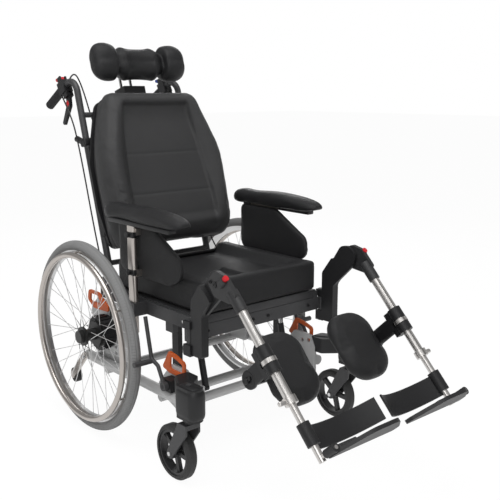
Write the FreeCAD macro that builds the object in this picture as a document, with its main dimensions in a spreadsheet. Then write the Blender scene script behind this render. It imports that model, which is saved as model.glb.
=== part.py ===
import FreeCAD, Part
import math
import os
import Sketcher

V = FreeCAD.Vector
doc = FreeCAD.newDocument("reclining_wheelchair")

# Driving sizes in millimetres and degrees. X is the occupant's left, -Y the front, Z up from the floor.
SIZES = [
    ("wheel_radius", 305), ("tyre_section", 17), ("rim_depth", 18), ("rim_half_width", 12),
    ("handrim_inset", 43),
    ("handrim_tube", 9), ("handrim_gap", 26), ("axle_radius", 8), ("fit_gap", 0.05), ("drum_radius", 53),
    ("drum_width", 35), ("drum_gap", 7), ("hub_length", 102), ("hub_centre", 75), ("spoke_radius", 1),
    ("castor_radius", 80), ("castor_width", 32), ("castor_gap", 53), ("castor_trail", 62),
    ("castor_reach", 90), ("crown_gap", 40),
    ("stem_radius", 8), ("housing_height", 92), ("rail_gap", 24), ("rail_radius", 16), ("rail_height", 200),
    ("rail_front", -440), ("rail_rear", 110), ("cross_radius", 14), ("cross_drop", 22),
    ("front_cross_gap", 40),
    ("tilt_gap", 85), ("rear_cross_gap", 120), ("plate_gap", 13), ("plate_thickness", 8),
    ("loop_thickness", 6),
    ("upright_gap", 28), ("upright_width", 16), ("tilt_drop", 55), ("pivot_radius", 6),
    ("seat_rail_track", 233),
    ("seat_rail_width", 18), ("seat_rail_top", 445), ("seat_rail_height", 40), ("seat_front", -458),
    ("seat_rear", 60), ("pan_thickness", 4), ("cushion_inset", 4), ("cushion_height", 100), ("recline_y", 50),
    ("recline_rise", 5), ("recline_rest", 16), ("cane_gap", 29), ("cable_gap", 24),
    ("cane_radius", 11), ("cane_rise", 91),
    ("handle_reach", 200), ("handle_drop", 45), ("grip_radius", 15), ("back_margin", 22), ("back_foot", 100),
    ("back_top", 604), ("back_depth", 114), ("shell_thickness", 12), ("head_post_track", 20),
    ("head_post_radius", 5), ("head_rise", 112), ("head_half", 178), ("arm_gap", 38), ("arm_y", -187),
    ("post_length", 34), ("post_width", 18), ("arm_rise", 245), ("arm_pad_inset", 12), ("arm_pad_height", 44),
    ("panel_gap", 16), ("panel_thickness", 18), ("leg_gap", 25), ("swing_gap", 29), ("swing_inset", 3),
    ("knee_reach", 125), ("knee_rise", 127), ("leg_rest", 43.9), ("leg_tube_radius", 12.5),
    ("leg_tube_offset", 32), ("foot_tube_radius", 9.5), ("calf_gap", 117), ("calf_width", 164),
    ("calf_length", 212), ("calf_thickness", 44), ("foot_station", 512), ("foot_inner", 25),
    ("foot_depth", 105),
    ("foot_thickness", 10), ("button_radius", 8), ("brake_bar", 6), ("spring_gap", 40),
    ("upright_track", "=seat_rail_track - upright_gap"), ("spring_track", "=upright_track - spring_gap"),
    ("handrim_radius", "=wheel_radius - handrim_inset"),
    ("cushion_half", "=seat_rail_track - cushion_inset"), ("cane_track", "=seat_rail_track - cane_gap"),
    ("back_half", "=cane_track + back_margin"), ("arm_track", "=seat_rail_track + arm_gap"),
    ("arm_pad_track", "=arm_track - arm_pad_inset"),
    ("panel_inner", "=arm_track - panel_gap - panel_thickness"),
    ("leg_track", "=seat_rail_track + leg_gap"), ("swing_track", "=seat_rail_track + swing_gap"),
    ("calf_track", "=leg_track - calf_gap"), ("plate_inner", "=seat_rail_track + plate_gap"),
    ("rail_track", "=plate_inner + rail_gap"), ("drum_inner", "=plate_inner + plate_thickness + drum_gap"),
    ("drum_outer", "=drum_inner + drum_width"), ("hub_end", "=drum_inner + hub_length"),
    ("wheel_track", "=drum_inner + hub_centre"), ("handrim_offset", "=wheel_track + handrim_gap"),
    ("castor_track", "=rail_track + castor_gap"), ("castor_stem_y", "=rail_front - castor_reach"),
    ("castor_axle_y", "=castor_stem_y + castor_trail"), ("housing_foot", "=2 * castor_radius + crown_gap"),
    ("housing_top", "=housing_foot + housing_height"), ("cross_height", "=rail_height - cross_drop"),
    ("front_cross_y", "=rail_front + front_cross_gap"), ("tilt_y", "=front_cross_y + tilt_gap"),
    ("rear_cross_y", "=rail_rear - rear_cross_gap"), ("tilt_z", "=seat_rail_top - tilt_drop"),
    ("recline_z", "=seat_rail_top + recline_rise"), ("cane_top", "=back_top + cane_rise"),
    ("head_height", "=back_top + head_rise"), ("arm_top", "=seat_rail_top + arm_rise"),
    ("swing_y", "=seat_front + swing_inset"), ("knee_y", "=swing_y - knee_reach"),
    ("knee_z", "=seat_rail_top + knee_rise"),
]
sheet = doc.addObject("Spreadsheet::Sheet", "Sizes")
for row, (alias, value) in enumerate(SIZES, 1):
    sheet.set(f"A{row}", alias)
    sheet.setAlias(f"B{row}", alias)
for row, (alias, value) in enumerate(SIZES, 1):
    sheet.set(f"B{row}", str(value))
doc.recompute()
S = {alias: float(sheet.get(alias)) for alias, _ in SIZES}
X_AXIS = V(1, 0, 0)
Y_AXIS = V(0, 1, 0)
Z_AXIS = V(0, 0, 1)
SIDES = {"right": -1, "left": 1}
NODES = {}


# Helpers: a size given as text is bound to the sheet, a number is used as it is.
def bind(thing, prop, size):
    if isinstance(size, str):
        words = [f"Sizes.{w}" if w in S else w for w in size.split()]
        thing.setExpression(prop, " ".join(words))
    else:
        setattr(thing, prop, size)


def rotation_to(axis):
    return FreeCAD.Rotation(Z_AXIS, V(*axis))


def rod(label, radius, length, start, axis):
    thing = doc.addObject("Part::Cylinder", label)
    bind(thing, "Radius", radius)
    bind(thing, "Height", length)
    thing.Placement = FreeCAD.Placement(V(*start), rotation_to(axis))
    return thing


def block(label, low, high):
    thing = doc.addObject("Part::Box", label)
    thing.Length, thing.Width, thing.Height = [b - a for a, b in zip(low, high)]
    thing.Placement = FreeCAD.Placement(V(*low), FreeCAD.Rotation())
    return thing


def mirror_x(side, a, b):
    return (min(side * a, side * b), max(side * a, side * b))


def side_block(label, side, xs, ys, zs):
    x0, x1 = mirror_x(side, *xs)
    return block(label, (x0, ys[0], zs[0]), (x1, ys[1], zs[1]))


def fuse(label, things):
    thing = doc.addObject("Part::MultiFuse", label)
    thing.Shapes = things
    thing.Refine = True
    return thing


def cut(label, base, tools):
    tool = tools[0] if len(tools) == 1 else gather(label + "_tools", tools)
    thing = doc.addObject("Part::Cut", label)
    thing.Base = base
    thing.Tool = tool
    return thing


def gather(label, things):
    thing = doc.addObject("Part::Compound", label)
    thing.Links = things
    return thing


def node(label, thing, frame=FreeCAD.Placement()):
    thing.Placement = frame.multiply(thing.Placement)
    thing.Label = label
    NODES[label] = thing
    return thing


# Outline corners are (u, v, corner radius); the edges come back as lines joined by tangent arcs.
def rounded(corners):
    edges = []
    marks = []
    count = len(corners)
    for i in range(count):
        p = V(corners[i][0], corners[i][1], 0)
        before = V(corners[i - 1][0], corners[i - 1][1], 0) - p
        after = V(corners[(i + 1) % count][0], corners[(i + 1) % count][1], 0) - p
        r = corners[i][2]
        if r <= 0:
            marks.append((p, None, p))
            continue
        a = before / before.Length
        b = after / after.Length
        half = a.getAngle(b) / 2
        reach = r / math.tan(half)
        middle = (a + b) / (a + b).Length
        marks.append((p + a * reach, p + middle * (r / math.sin(half) - r), p + b * reach))
    for i in range(count):
        enter, middle, leave = marks[i]
        if middle is not None:
            edges.append(Part.Arc(enter, middle, leave))
        following = marks[(i + 1) % count][0]
        if (following - leave).Length > 1e-6:
            edges.append(Part.LineSegment(leave, following))
    return edges


def sketch_in(body, role, geometry):
    sketch = body.newObject("Sketcher::SketchObject", body.Name + "_outline")
    plane = [f for f in body.Origin.OriginFeatures if f.Role == role][0]
    sketch.AttachmentSupport = (plane, [""])
    sketch.MapMode = "FlatFace"
    sketch.addGeometry(geometry, False)
    return sketch


# A plate is a sketch with its holes, padded; a pad on the YZ plane grows along +X from the given x.
def plate(label, role, corners, thickness, start, holes=()):
    body = doc.addObject("PartDesign::Body", label)
    geometry = rounded(corners)
    for u, v, r in holes:
        geometry.append(Part.Circle(V(u, v, 0), Z_AXIS, r))
    sketch = sketch_in(body, role, geometry)
    pad = body.newObject("PartDesign::Pad", label + "_pad")
    pad.Profile = sketch
    bind(pad, "Length", thickness)
    body.Placement = FreeCAD.Placement(V(*start), FreeCAD.Rotation())
    return body


def side_plate(label, side, inner_x, thickness, corners, holes=(), shift=(0, 0)):
    depth = S[thickness] if isinstance(thickness, str) else thickness
    x = inner_x if side > 0 else -inner_x - depth
    return plate(label, "YZ_Plane", corners, thickness, (x, shift[0], shift[1]), holes)


# A turned piece is a half section (along the axis, radius) revolved about the X axis.
def turned(label, section, start):
    body = doc.addObject("PartDesign::Body", label)
    sketch = sketch_in(body, "XY_Plane", section)
    spin = body.newObject("PartDesign::Revolution", label + "_turn")
    spin.Profile = sketch
    spin.ReferenceAxis = (sketch, ["H_Axis"])
    spin.Angle = 360
    body.Placement = FreeCAD.Placement(V(*start), FreeCAD.Rotation())
    return body


def lines(points):
    loop = points + [points[0]]
    return [Part.LineSegment(V(*a, 0), V(*b, 0)) for a, b in zip(loop, loop[1:])]


# A bent tube follows straight runs joined by tangent arcs of the given radius.
def bent_path(points, bend):
    points = [V(*p) for p in points]
    edges = []
    last = points[0]
    for p, corner, q in zip(points, points[1:], points[2:]):
        a = (p - corner).normalize()
        b = (q - corner).normalize()
        half = a.getAngle(b) / 2
        reach = bend / math.tan(half)
        middle = (a + b).normalize()
        enter = corner + a * reach
        leave = corner + b * reach
        edges.append(Part.LineSegment(last, enter).toShape())
        edges.append(Part.Arc(enter, corner + middle * (bend / math.sin(half) - bend), leave).toShape())
        last = leave
    edges.append(Part.LineSegment(last, points[-1]).toShape())
    return Part.Wire(edges)


def bent_tube(label, points, bend, radius):
    spine = doc.addObject("Part::Feature", label + "_path")
    spine.Shape = bent_path(points, bend)
    circle = doc.addObject("Part::Circle", label + "_section")
    bind(circle, "Radius", radius)
    start = V(*points[0])
    circle.Placement = FreeCAD.Placement(start, FreeCAD.Rotation(Z_AXIS, V(*points[1]) - start))
    sweep = doc.addObject("Part::Sweep", label)
    sweep.Sections = [circle]
    sweep.Spine = (spine, [f"Edge{i + 1}" for i in range(len(spine.Shape.Edges))])
    sweep.Solid = True
    sweep.Frenet = False
    return sweep


# A soft piece is lofted through closed sections; a section is a list of points, and a point with a
# middle before it closes an arc of under a half circle.
def section_wire(label, steps, place):
    edges = []
    last = place(steps[0])
    for step in steps[1:]:
        end = place(step[-2:])
        if len(step) == 4:
            edges.append(Part.Arc(last, place(step[:2]), end).toShape())
        else:
            edges.append(Part.LineSegment(last, end).toShape())
        last = end
    thing = doc.addObject("Part::Feature", label)
    thing.Shape = Part.Wire(edges)
    return thing


def loft(label, sections):
    thing = doc.addObject("Part::Loft", label)
    thing.Sections = sections
    thing.Solid = True
    thing.Ruled = False
    thing.Closed = False
    return thing


def frame_at(y, z, degrees):
    return FreeCAD.Placement(V(0, y, z), FreeCAD.Rotation(X_AXIS, degrees))


BACK = frame_at(S["recline_y"], S["recline_z"], -S["recline_rest"])
LEG = frame_at(S["knee_y"], S["knee_z"], -S["leg_rest"])

# Base frame: two side rails joined by three cross tubes, with the anti-tip pins at the rear ends.
rail_length = S["rail_rear"] - S["rail_front"]
tip_y = S["rail_rear"] - 18
tubes = []
for name, side in SIDES.items():
    x = side * S["rail_track"]
    start = (x, S["rail_front"], S["rail_height"])
    tubes.append(rod("rail_" + name, "rail_radius", "rail_rear - rail_front", start, (0, 1, 0)))
    pin = (x, tip_y, S["rail_height"])
    tubes.append(rod("tip_pin_" + name, "pivot_radius", 33, pin, (side, 0, 0)))
for name, y in (("front", S["front_cross_y"]), ("mid", S["tilt_y"]), ("rear", S["rear_cross_y"])):
    start = (-S["rail_track"], y, S["cross_height"])
    tubes.append(rod("cross_" + name, "cross_radius", "rail_track * 2", start, (1, 0, 0)))
lug_z = S["cross_height"] + 28
for name, side in SIDES.items():
    x = side * S["spring_track"]
    low = S["cross_height"]
    y = S["front_cross_y"]
    tubes.append(side_block("spring_lug_" + name, side, (S["spring_track"] + 11, S["spring_track"] + 17),
                            (y - 9, y + 9), (low, lug_z + 9)))
    tubes.append(rod("spring_pin_" + name, 4, 25, (x - side * 9, y, lug_z), (side, 0, 0)))
welded = fuse("welded_frame", tubes)

# Side plates: perforated axle plate at the rear and gusset plate at the front, notched round the rails.
AXLE = S["wheel_radius"]
axle_outline = [(104, 362, 18), (60, 405, 14), (-62, 405, 16), (-121, 306, 20), (-103, 186, 12),
                (68, 182, 20)]
gusset_outline = [(154, -14, 6), (154, 14, 10), (88, 88, 14), (12, 88, 14), (-6, 50, 10), (-6, -42, 12),
                  (60, -48, 20)]
axle_holes = [(0, AXLE, S["axle_radius"] + S["fit_gap"])]
for row in range(3):
    for column in range(3):
        axle_holes.append((-44 + 44 * column, AXLE - 88 + 22 * row, 7))
gusset_holes = [(22, 68, 7), (52, 62, 7), (110, 22, 7)]
FRONT = (S["rail_front"], S["rail_height"])
side_plates = []
notches = {}
for name, side in SIDES.items():
    notch = rod("rail_notch_" + name, "rail_radius", 700, (side * S["rail_track"], -500, S["rail_height"]),
                (0, 1, 0))
    slots = [notch]
    for y in (S["front_cross_y"], S["rear_cross_y"], S["tilt_y"]):
        slots.append(rod("cross_notch_" + name, "cross_radius", "rail_track * 2",
                         (-S["rail_track"], y, S["cross_height"]), (1, 0, 0)))
    notches[name] = slots
    rear = side_plate("axle_blank_" + name, side, S["plate_inner"], "plate_thickness", axle_outline,
                      axle_holes)
    front = side_plate("gusset_blank_" + name, side, S["plate_inner"], "plate_thickness", gusset_outline,
                       gusset_holes,
                       FRONT)
    side_plates.append(cut("axle_plate_" + name, rear, slots))
    side_plates.append(cut("gusset_plate_" + name, front, slots))
node("base_frame", gather("base_frame", [welded] + side_plates))
plate_outer = S["plate_inner"] + S["plate_thickness"]

# Seat uprights: two bars standing on the middle cross tube, bored for the tilt pivot.
uprights = []
for name, side in SIDES.items():
    y = S["tilt_y"]
    corners = [(y - 15, S["cross_height"], 0), (y + 15, S["cross_height"], 0), (y + 15, S["tilt_z"] + 14, 12),
               (y - 15, S["tilt_z"] + 14, 12)]
    bore = (y, S["tilt_z"], S["pivot_radius"] + S["fit_gap"])
    inner = S["upright_track"] - S["upright_width"] / 2
    bar = side_plate("upright_bar_" + name, side, inner, "upright_width", corners, [bore])
    uprights.append(cut("upright_" + name, bar, [notches[name][3]]))

# Castor housings: a rounded block over the stem with an arm clamped on the rail end and gusset.
housings = []
for name, side in SIDES.items():
    x = side * S["castor_track"]
    y = S["castor_stem_y"]
    corners = [(x - 24, y - 46, 22), (x + 24, y - 46, 22), (x + 24, y + 32, 10), (x - 24, y + 32, 10)]
    shell = plate("housing_shell_" + name, "XY_Plane", corners, "housing_top - housing_foot",
                  (0, 0, S["housing_foot"]))
    rail, back = S["rail_track"], S["rail_front"] + 12
    strip = [(side * (rail - 22), back, 6), (side * (rail + 22), back, 12), (x + side * 18, y + 30, 8),
             (x + side * 18, y + 14, 4), (x - side * 22, y + 14, 6), (side * (rail - 22), back - 46, 16)]
    arm = plate("housing_arm_" + name, "XY_Plane", strip, 48, (0, 0, S["housing_top"] - 56))
    solid = fuse("housing_solid_" + name, [shell, arm])
    bore = rod("stem_bore_" + name, "stem_radius + fit_gap", 140, (x, y, S["housing_foot"] - 10), (0, 0, 1))
    housings.append(cut("housing_" + name, solid, [bore, notches[name][0],
                                                   side_plates[1 if side < 0 else 3]]))

# Tie-down loops: slotted plates on the outer face of the axle and gusset plates.
loops = []
rear_loop = [(-12, 370, 6), (-12, 386, 6), (44, 424, 14), (108, 424, 14), (116, 388, 14), (78, 366, 8)]
rear_window = [(28, 386, 7), (100, 386, 7), (96, 413, 7), (50, 413, 7)]
front_loop = [(126, 72, 6), (112, 94, 8), (92, 128, 10), (60, 124, 10), (14, 110, 12), (16, 62, 10),
              (90, 62, 8)]
front_window = [(27, 75, 7), (88, 75, 7), (84, 114, 7), (62, 112, 7), (26, 102, 7)]
for name, side in SIDES.items():
    for label, outline, opening, shift in (("rear", rear_loop, rear_window, (0, 0)),
                                           ("front", front_loop, front_window, FRONT)):
        blank = side_plate(f"loop_blank_{label}_{name}", side, plate_outer, "loop_thickness", outline, (),
                           shift)
        window = side_plate(f"loop_window_{label}_{name}", side, plate_outer - 2, 12, opening, (), shift)
        loops.append(cut(f"loop_{label}_{name}", blank, [window]))
node("tie_down_loops", gather("tie_down_loops", loops))

# Drum-brake plates with the stub axles that carry the rear wheels.
brake_plates = []
for name, side in SIDES.items():
    reach = S["hub_end"] - 8 - S["plate_inner"]
    r = S["axle_radius"]
    t = S["drum_inner"] - 1 - plate_outer
    face = plate_outer - S["plate_inner"]
    section = [(0, 0), (reach, 0), (reach, r), (face + t, r), (face + t, S["drum_radius"]),
               (face, S["drum_radius"]),
               (face, r), (0, r)]
    section = [(side * a, b) for a, b in section]
    brake_plates.append(turned("brake_plate_" + name, lines(section), (side * S["plate_inner"], 0, AXLE)))

# Parking-brake brackets on the outer face of the gussets, each with its pivot pin.
PARK = (S["rail_front"] + 66, S["rail_height"] + 36)
brackets = []
for name, side in SIDES.items():
    foot = side_block("park_foot_" + name, side, (plate_outer, plate_outer + 33),
                      (PARK[0] - 18, PARK[0] + 22),
                      (PARK[1] - 18, PARK[1] + 18))
    pin = rod("park_pin_" + name, "pivot_radius", 48, (side * plate_outer, PARK[0], PARK[1]), (side, 0, 0))
    body = fuse("park_bracket_" + name, [foot, pin])
    brackets.append(cut("park_bracket_cut_" + name, body, [notches[name][0]]))
node("frame_brackets", gather("frame_brackets", uprights + housings + brake_plates + brackets))

# Rear wheels: tyre, rim, hub with drum and spokes, handrim on its standoffs.
SPOKES = 18
for name, side in SIDES.items():
    centre = (side * S["wheel_track"], 0, AXLE)
    mid_r = S["wheel_radius"] - S["tyre_section"]
    half = S["rim_half_width"]
    seat_r = mid_r - math.sqrt(S["tyre_section"] ** 2 - half ** 2)
    tread = [Part.Arc(V(half, seat_r, 0), V(S["tyre_section"], mid_r, 0), V(0, S["wheel_radius"], 0)),
             Part.Arc(V(0, S["wheel_radius"], 0), V(-S["tyre_section"], mid_r, 0), V(-half, seat_r, 0)),
             Part.LineSegment(V(-half, seat_r, 0), V(half, seat_r, 0))]
    node("tyre_" + name, turned("tyre_" + name, tread, centre))
    foot = seat_r - S["rim_depth"]
    rim = [(-half, seat_r), (half, seat_r), (half, seat_r - 7), (half - 6, foot), (6 - half, foot),
           (-half, seat_r - 7)]
    node("rim_" + name, turned("rim_" + name, lines(rim), centre))
    bore = S["axle_radius"] + S["fit_gap"]
    inner_flange = S["drum_outer"] + 4
    outer_flange = S["hub_end"] - 17
    hub_points = [(S["drum_inner"], bore), (S["drum_inner"], S["drum_radius"]),
                  (S["drum_outer"], S["drum_radius"]),
                  (S["drum_outer"], 40), (inner_flange + 4, 40), (inner_flange + 4, 19),
                  (outer_flange - 4, 19),
                  (outer_flange - 4, 30), (outer_flange + 4, 30), (outer_flange + 4, 20),
                  (S["hub_end"], 20), (S["hub_end"], 0), (S["hub_end"] - 6, 0), (S["hub_end"] - 6, bore)]
    hub_points = [(side * a, b) for a, b in hub_points]
    hub = turned("hub_body_" + name, lines(hub_points), (0, 0, AXLE))
    spokes = [hub]
    for flange, flange_r, lean in ((inner_flange, 38, 3), (outer_flange, 28, -3)):
        for k in range(SPOKES):
            cross = 0.9 if k % 2 else -0.9
            step = 2 * math.pi / SPOKES
            turn = step * (k + (0.25 if flange == inner_flange else 0.75))
            offset = 2.4 if k % 2 else -2.4
            low = V(side * (flange + offset), flange_r * math.cos(turn + cross),
                    AXLE + flange_r * math.sin(turn + cross))
            top_x = side * (S["wheel_track"] - lean + offset / 6)
            high = V(top_x, (foot + 2) * math.cos(turn), AXLE + (foot + 2) * math.sin(turn))
            along = high - low
            start = low + along.normalize() * 1.0
            wire = rod(f"spoke_{name}_{flange}_{k}", "spoke_radius", (high - start).Length, tuple(start),
                       tuple(along))
            spokes.append(wire)
    rim_mask = doc.getObject("rim_" + name)
    wires = gather("spoke_set_" + name, spokes[1:])
    trimmed = cut("spokes_" + name, wires, [rim_mask, hub])
    node("hub_" + name, gather("hub_" + name, [hub, trimmed]))
    ring = doc.addObject("Part::Torus", "handrim_ring_" + name)
    bind(ring, "Radius1", "handrim_radius")
    bind(ring, "Radius2", "handrim_tube")
    ring.Placement = FreeCAD.Placement(V(side * S["handrim_offset"], 0, AXLE), rotation_to((1, 0, 0)))
    tabs = [ring]
    for k in range(6):
        turn = math.pi / 3 * (k + 0.5)
        face = side * (S["wheel_track"] + half)
        tab_r = seat_r - 4
        tab = rod(f"handrim_tab_{name}_{k}", 3, S["handrim_offset"] - S["wheel_track"] - half,
                  (face, tab_r * math.cos(turn), AXLE + tab_r * math.sin(turn)), (side, 0, 0))
        tabs.append(tab)
    node("handrim_" + name, fuse("handrim_" + name, tabs))

# Castors: fork with stem and axle bolt, wheel with a spoked centre.
for name, side in SIDES.items():
    x = S["castor_track"]
    ay = S["castor_axle_y"]
    sy = S["castor_stem_y"]
    az = S["castor_radius"]
    crown = az * 2 + 12
    gap = S["castor_width"] / 2 + 3
    stem = rod("stem_" + name, "stem_radius", S["housing_top"] + 4 - crown, (side * x, sy, crown), (0, 0, 1))
    collar = rod("stem_collar_" + name, 15, 8, (side * x, sy, crown + 14), (0, 0, 1))
    bridge = side_block("fork_crown_" + name, side, (x - gap - 6, x + gap + 6), (sy - 16, sy + 20),
                        (crown, crown + 14))
    fork = [stem, collar, bridge]
    shape = [(sy - 16, crown + 14, 4), (sy + 20, crown + 14, 4), (ay + 16, az - 4, 12), (ay - 4, az - 18, 12),
             (ay - 18, az, 12), (sy - 16, crown - 14, 10)]
    for label, inner in (("in", x - gap - 6), ("out", x + gap)):
        fork.append(side_plate(f"fork_leg_{label}_{name}", side, inner, 6, shape))
    frame = fuse("fork_frame_" + name, fork)
    bolt_hole = rod("fork_bore_" + name, "pivot_radius", 80, (side * x - 40, ay, az), (1, 0, 0))
    bolt = rod("fork_bolt_" + name, "pivot_radius", gap * 2 + 18, (side * x - gap - 9, ay, az), (1, 0, 0))
    node("castor_fork_" + name, gather("castor_fork_" + name,
                                       [cut("fork_" + name, frame, [bolt_hole]), bolt]))
    w = S["castor_width"] / 2
    tread_r = az - 14
    tread = [(-w, tread_r), (w, tread_r), (w, az - 6), (w - 7, az), (7 - w, az), (-w, az - 6)]
    tyre = turned("castor_tyre_" + name, lines(tread), (side * x, ay, az))
    ring = turned("castor_ring_" + name, lines([(-w + 3, tread_r - 8), (w - 3, tread_r - 8), (w - 3, tread_r),
                                                (3 - w, tread_r)]), (side * x, ay, az))
    bore = S["pivot_radius"] + S["fit_gap"]
    hub = turned("castor_hub_" + name, lines([(-w - 2, bore), (w + 2, bore), (w + 2, 16), (-w - 2, 16)]),
                 (side * x, ay, az))
    centre = [ring, hub]
    for k in range(5):
        spoke = doc.addObject("Part::Box", f"castor_spoke_{name}_{k}")
        spoke.Length = 12
        spoke.Width = 13
        bind(spoke, "Height", "castor_radius - 31")
        turn = FreeCAD.Rotation(X_AXIS, 72 * k + 20)
        spoke.Placement = FreeCAD.Placement(V(side * x, ay, az), turn).multiply(
            FreeCAD.Placement(V(-6, -6.5, 12), FreeCAD.Rotation()))
        centre.append(spoke)
    node("castor_wheel_" + name, gather("castor_wheel_" + name,
                                        [tyre, fuse("castor_centre_" + name, centre)]))

# Seat frame: side rails, cross rails, pan, tilt lugs, arm sockets, hanger posts and back hinges.
base_z = S["seat_rail_top"] - S["seat_rail_height"]
top_z = S["seat_rail_top"]
w = S["seat_rail_width"] / 2
track = S["seat_rail_track"]
seat = [block("front_rail", (-track - w, S["seat_front"], base_z - 22),
              (track + w, S["seat_front"] + 20, base_z + 18)),
        block("mid_rail", (-track, S["tilt_y"] + 14, base_z + 16), (track, S["tilt_y"] + 34, top_z)),
        block("seat_pan", (-track, S["seat_front"] + 6, top_z), (track, -14, top_z + S["pan_thickness"]))]
seat.append(rod("rear_rail", 8, "seat_rail_track * 2", (-track, -12, top_z - 8), (1, 0, 0)))
for name, side in SIDES.items():
    seat.append(side_block("seat_rail_" + name, side, (track - w, track + w),
                           (S["seat_front"], S["seat_rear"]),
                           (base_z, top_z)))
    lug_in = S["upright_track"] + S["upright_width"] / 2 + 1
    y = S["tilt_y"]
    seat.append(side_block("tilt_lug_" + name, side, (lug_in, track), (y - 18, y + 18),
                           (S["tilt_z"] - 18, base_z + 24)))
    seat.append(rod("tilt_pin_" + name, "pivot_radius", S["upright_width"] + 12,
                    (side * (lug_in + 4), y, S["tilt_z"]), (-side, 0, 0)))
    sy = S["front_cross_y"] + 48
    seat.append(side_block("spring_ear_" + name, side, (S["spring_track"] + 8, S["spring_track"] + 14),
                           (sy - 9, sy + 9), (base_z - 14, top_z)))
    seat.append(rod("spring_ear_pin_" + name, 4, 24, (side * (S["spring_track"] - 10), sy, base_z - 5),
                    (side, 0, 0)))
    ay = S["arm_y"]
    socket = side_block("arm_socket_solid_" + name, side, (track, S["arm_track"] + 16), (ay - 26, ay + 26),
                        (base_z, top_z))
    px, py = S["post_width"] / 2 + 0.5, S["post_length"] / 2 + 0.5
    slot = side_block("arm_socket_slot_" + name, side, (S["arm_track"] - px, S["arm_track"] + px),
                      (ay - py, ay + py),
                      (base_z - 5, top_z + 5))
    seat.append(cut("arm_socket_" + name, socket, [slot]))
    hx = S["swing_track"]
    seat.append(side_block("hanger_arm_" + name, side, (track, hx + 9), (S["swing_y"] - 3, S["swing_y"] + 12),
                           (base_z - 20, base_z + 15)))
    seat.append(rod("hanger_post_" + name, 9, 104, (side * hx, S["swing_y"], 344), (0, 0, 1)))
    by, bz = S["recline_y"], S["recline_z"]
    ear = S["cane_track"] + S["cane_radius"] + 2
    seat.append(side_block("back_ear_" + name, side, (ear, track), (by - 18, by + 18), (base_z, bz + 18)))
    seat.append(rod("back_pin_" + name, "pivot_radius", 36, (side * (ear + 5), by, bz), (-side, 0, 0)))
SPRING_FOOT = (-232, 412)
seat.append(block("recline_lug", (-16, SPRING_FOOT[0] - 12, SPRING_FOOT[1] - 10),
                  (-11, SPRING_FOOT[0] + 12, top_z + 2)))
seat.append(rod("recline_lug_pin", 4, 26, (-13, SPRING_FOOT[0], SPRING_FOOT[1]), (1, 0, 0)))
node("seat_frame", fuse("seat_frame", seat))

# Seat cushion: lofted front to rear, with raised sides and a pommel ridge at the front.
cushion_z = top_z + S["pan_thickness"]
sections = []
for k, (y, half, side_top, dish, ridge) in enumerate([(-470, 0.99, 0.84, 0.70, 0.76),
                                                      (-455, 1.01, 0.97, 0.78, 0.88),
                                                      (-330, 1.0, 1.0, 0.72, 0.78),
                                                      (-180, 1.0, 1.0, 0.70, 0.68),
                                                      (-40, 1.0, 1.0, 0.72, 0.70),
                                                      (-20, 0.96, 0.84, 0.66, 0.64)]):
    a = S["cushion_half"] * half
    h = S["cushion_height"]
    steps = [(-a + 3, 0), (a - 3, 0), (a, h * side_top * 0.5, a - 3, h * (side_top - 0.12)),
             (a - 9, h * (side_top - 0.02), a - 24, h * side_top),
             (a - 62, h * (side_top - 0.04), a - 96, h * dish),
             (60, h * (dish - 0.01), 34, h * dish), (0, h * ridge + 4, -34, h * dish),
             (-60, h * (dish - 0.01), 96 - a, h * dish),
             (62 - a, h * (side_top - 0.04), 24 - a, h * side_top),
             (9 - a, h * (side_top - 0.02), 3 - a, h * (side_top - 0.12)),
             (-a, h * side_top * 0.5, -a + 3, 0)]
    sections.append(section_wire(f"cushion_section_{k}", steps, lambda q, y=y: V(q[0], y, cushion_z + q[1])))
node("seat_cushion", loft("seat_cushion", sections))

# Back frame: two canes bent into push handles, two cross tubes and the recline lever.
canes = []
bores = []
for name, side in SIDES.items():
    x = side * S["cane_track"]
    path = [(x, 0, -22), (x, 0, S["cane_top"]), (x, S["handle_reach"], S["cane_top"] - S["handle_drop"])]
    canes.append(bent_tube("cane_" + name, path, 45, "cane_radius"))
    bores.append(rod("cane_bore_" + name, "pivot_radius + fit_gap", 60, (x - 30, 0, 0), (1, 0, 0)))
for label, height in (("low", 62), ("high", 560)):
    canes.append(rod("back_cross_" + label, 9, "cane_track * 2", (-S["cane_track"], 0, height), (1, 0, 0)))
LEVER = -45
canes.append(plate("recline_crank", "YZ_Plane", [(-9, LEVER - 9, 8), (9, LEVER - 9, 8), (7, 70, 3),
                                                 (-7, 70, 3)], 6, (10, 0, 0)))
canes.append(rod("recline_crank_pin", 4, 26, (-9, 0, LEVER), (1, 0, 0)))
cane_frame = fuse("cane_frame", canes)
node("back_canes", cut("back_canes", cane_frame, bores), BACK)

# Back shell: a moulded panel carried on four saddles, with the headrest clamp on its neck.
half = S["back_half"]
foot = S["back_foot"]
top = S["back_top"]
shell_outline = [(-half * 0.9, foot + 4, 30), (half * 0.9, foot + 4, 30), (half, foot + 140, 60),
                 (half, foot + 290, 90), (half * 0.72, top - 6, 40), (-half * 0.72, top - 6, 40),
                 (-half, foot + 290, 90), (-half, foot + 140, 60)]
face = -20
shell_parts = [plate("shell_panel", "XZ_Plane", shell_outline, "shell_thickness", (0, face, 0)),
               block("shell_neck", (-42, face - S["shell_thickness"], top - 60), (42, face, top + 46)),
               block("head_clamp", (-42, face - 4, top + 12), (42, 32, top + 46))]
saddle_cuts = []
for name, side in SIDES.items():
    for height in (foot + 70, foot + 330):
        shell_parts.append(side_block(f"saddle_{name}_{height}", side,
                                      (S["cane_track"] - 14, S["cane_track"] + 10),
                                      (face - 4, -2), (height - 18, height + 18)))
    x = side * S["cane_track"]
    saddle_cuts.append(rod("saddle_cut_" + name, "cane_radius", 600, (x, 0, 0), (0, 0, 1)))
    saddle_cuts.append(rod("head_bore_" + name, "head_post_radius + fit_gap", 90,
                           (side * S["head_post_track"], 20, top - 10), (0, 0, 1)))
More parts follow.
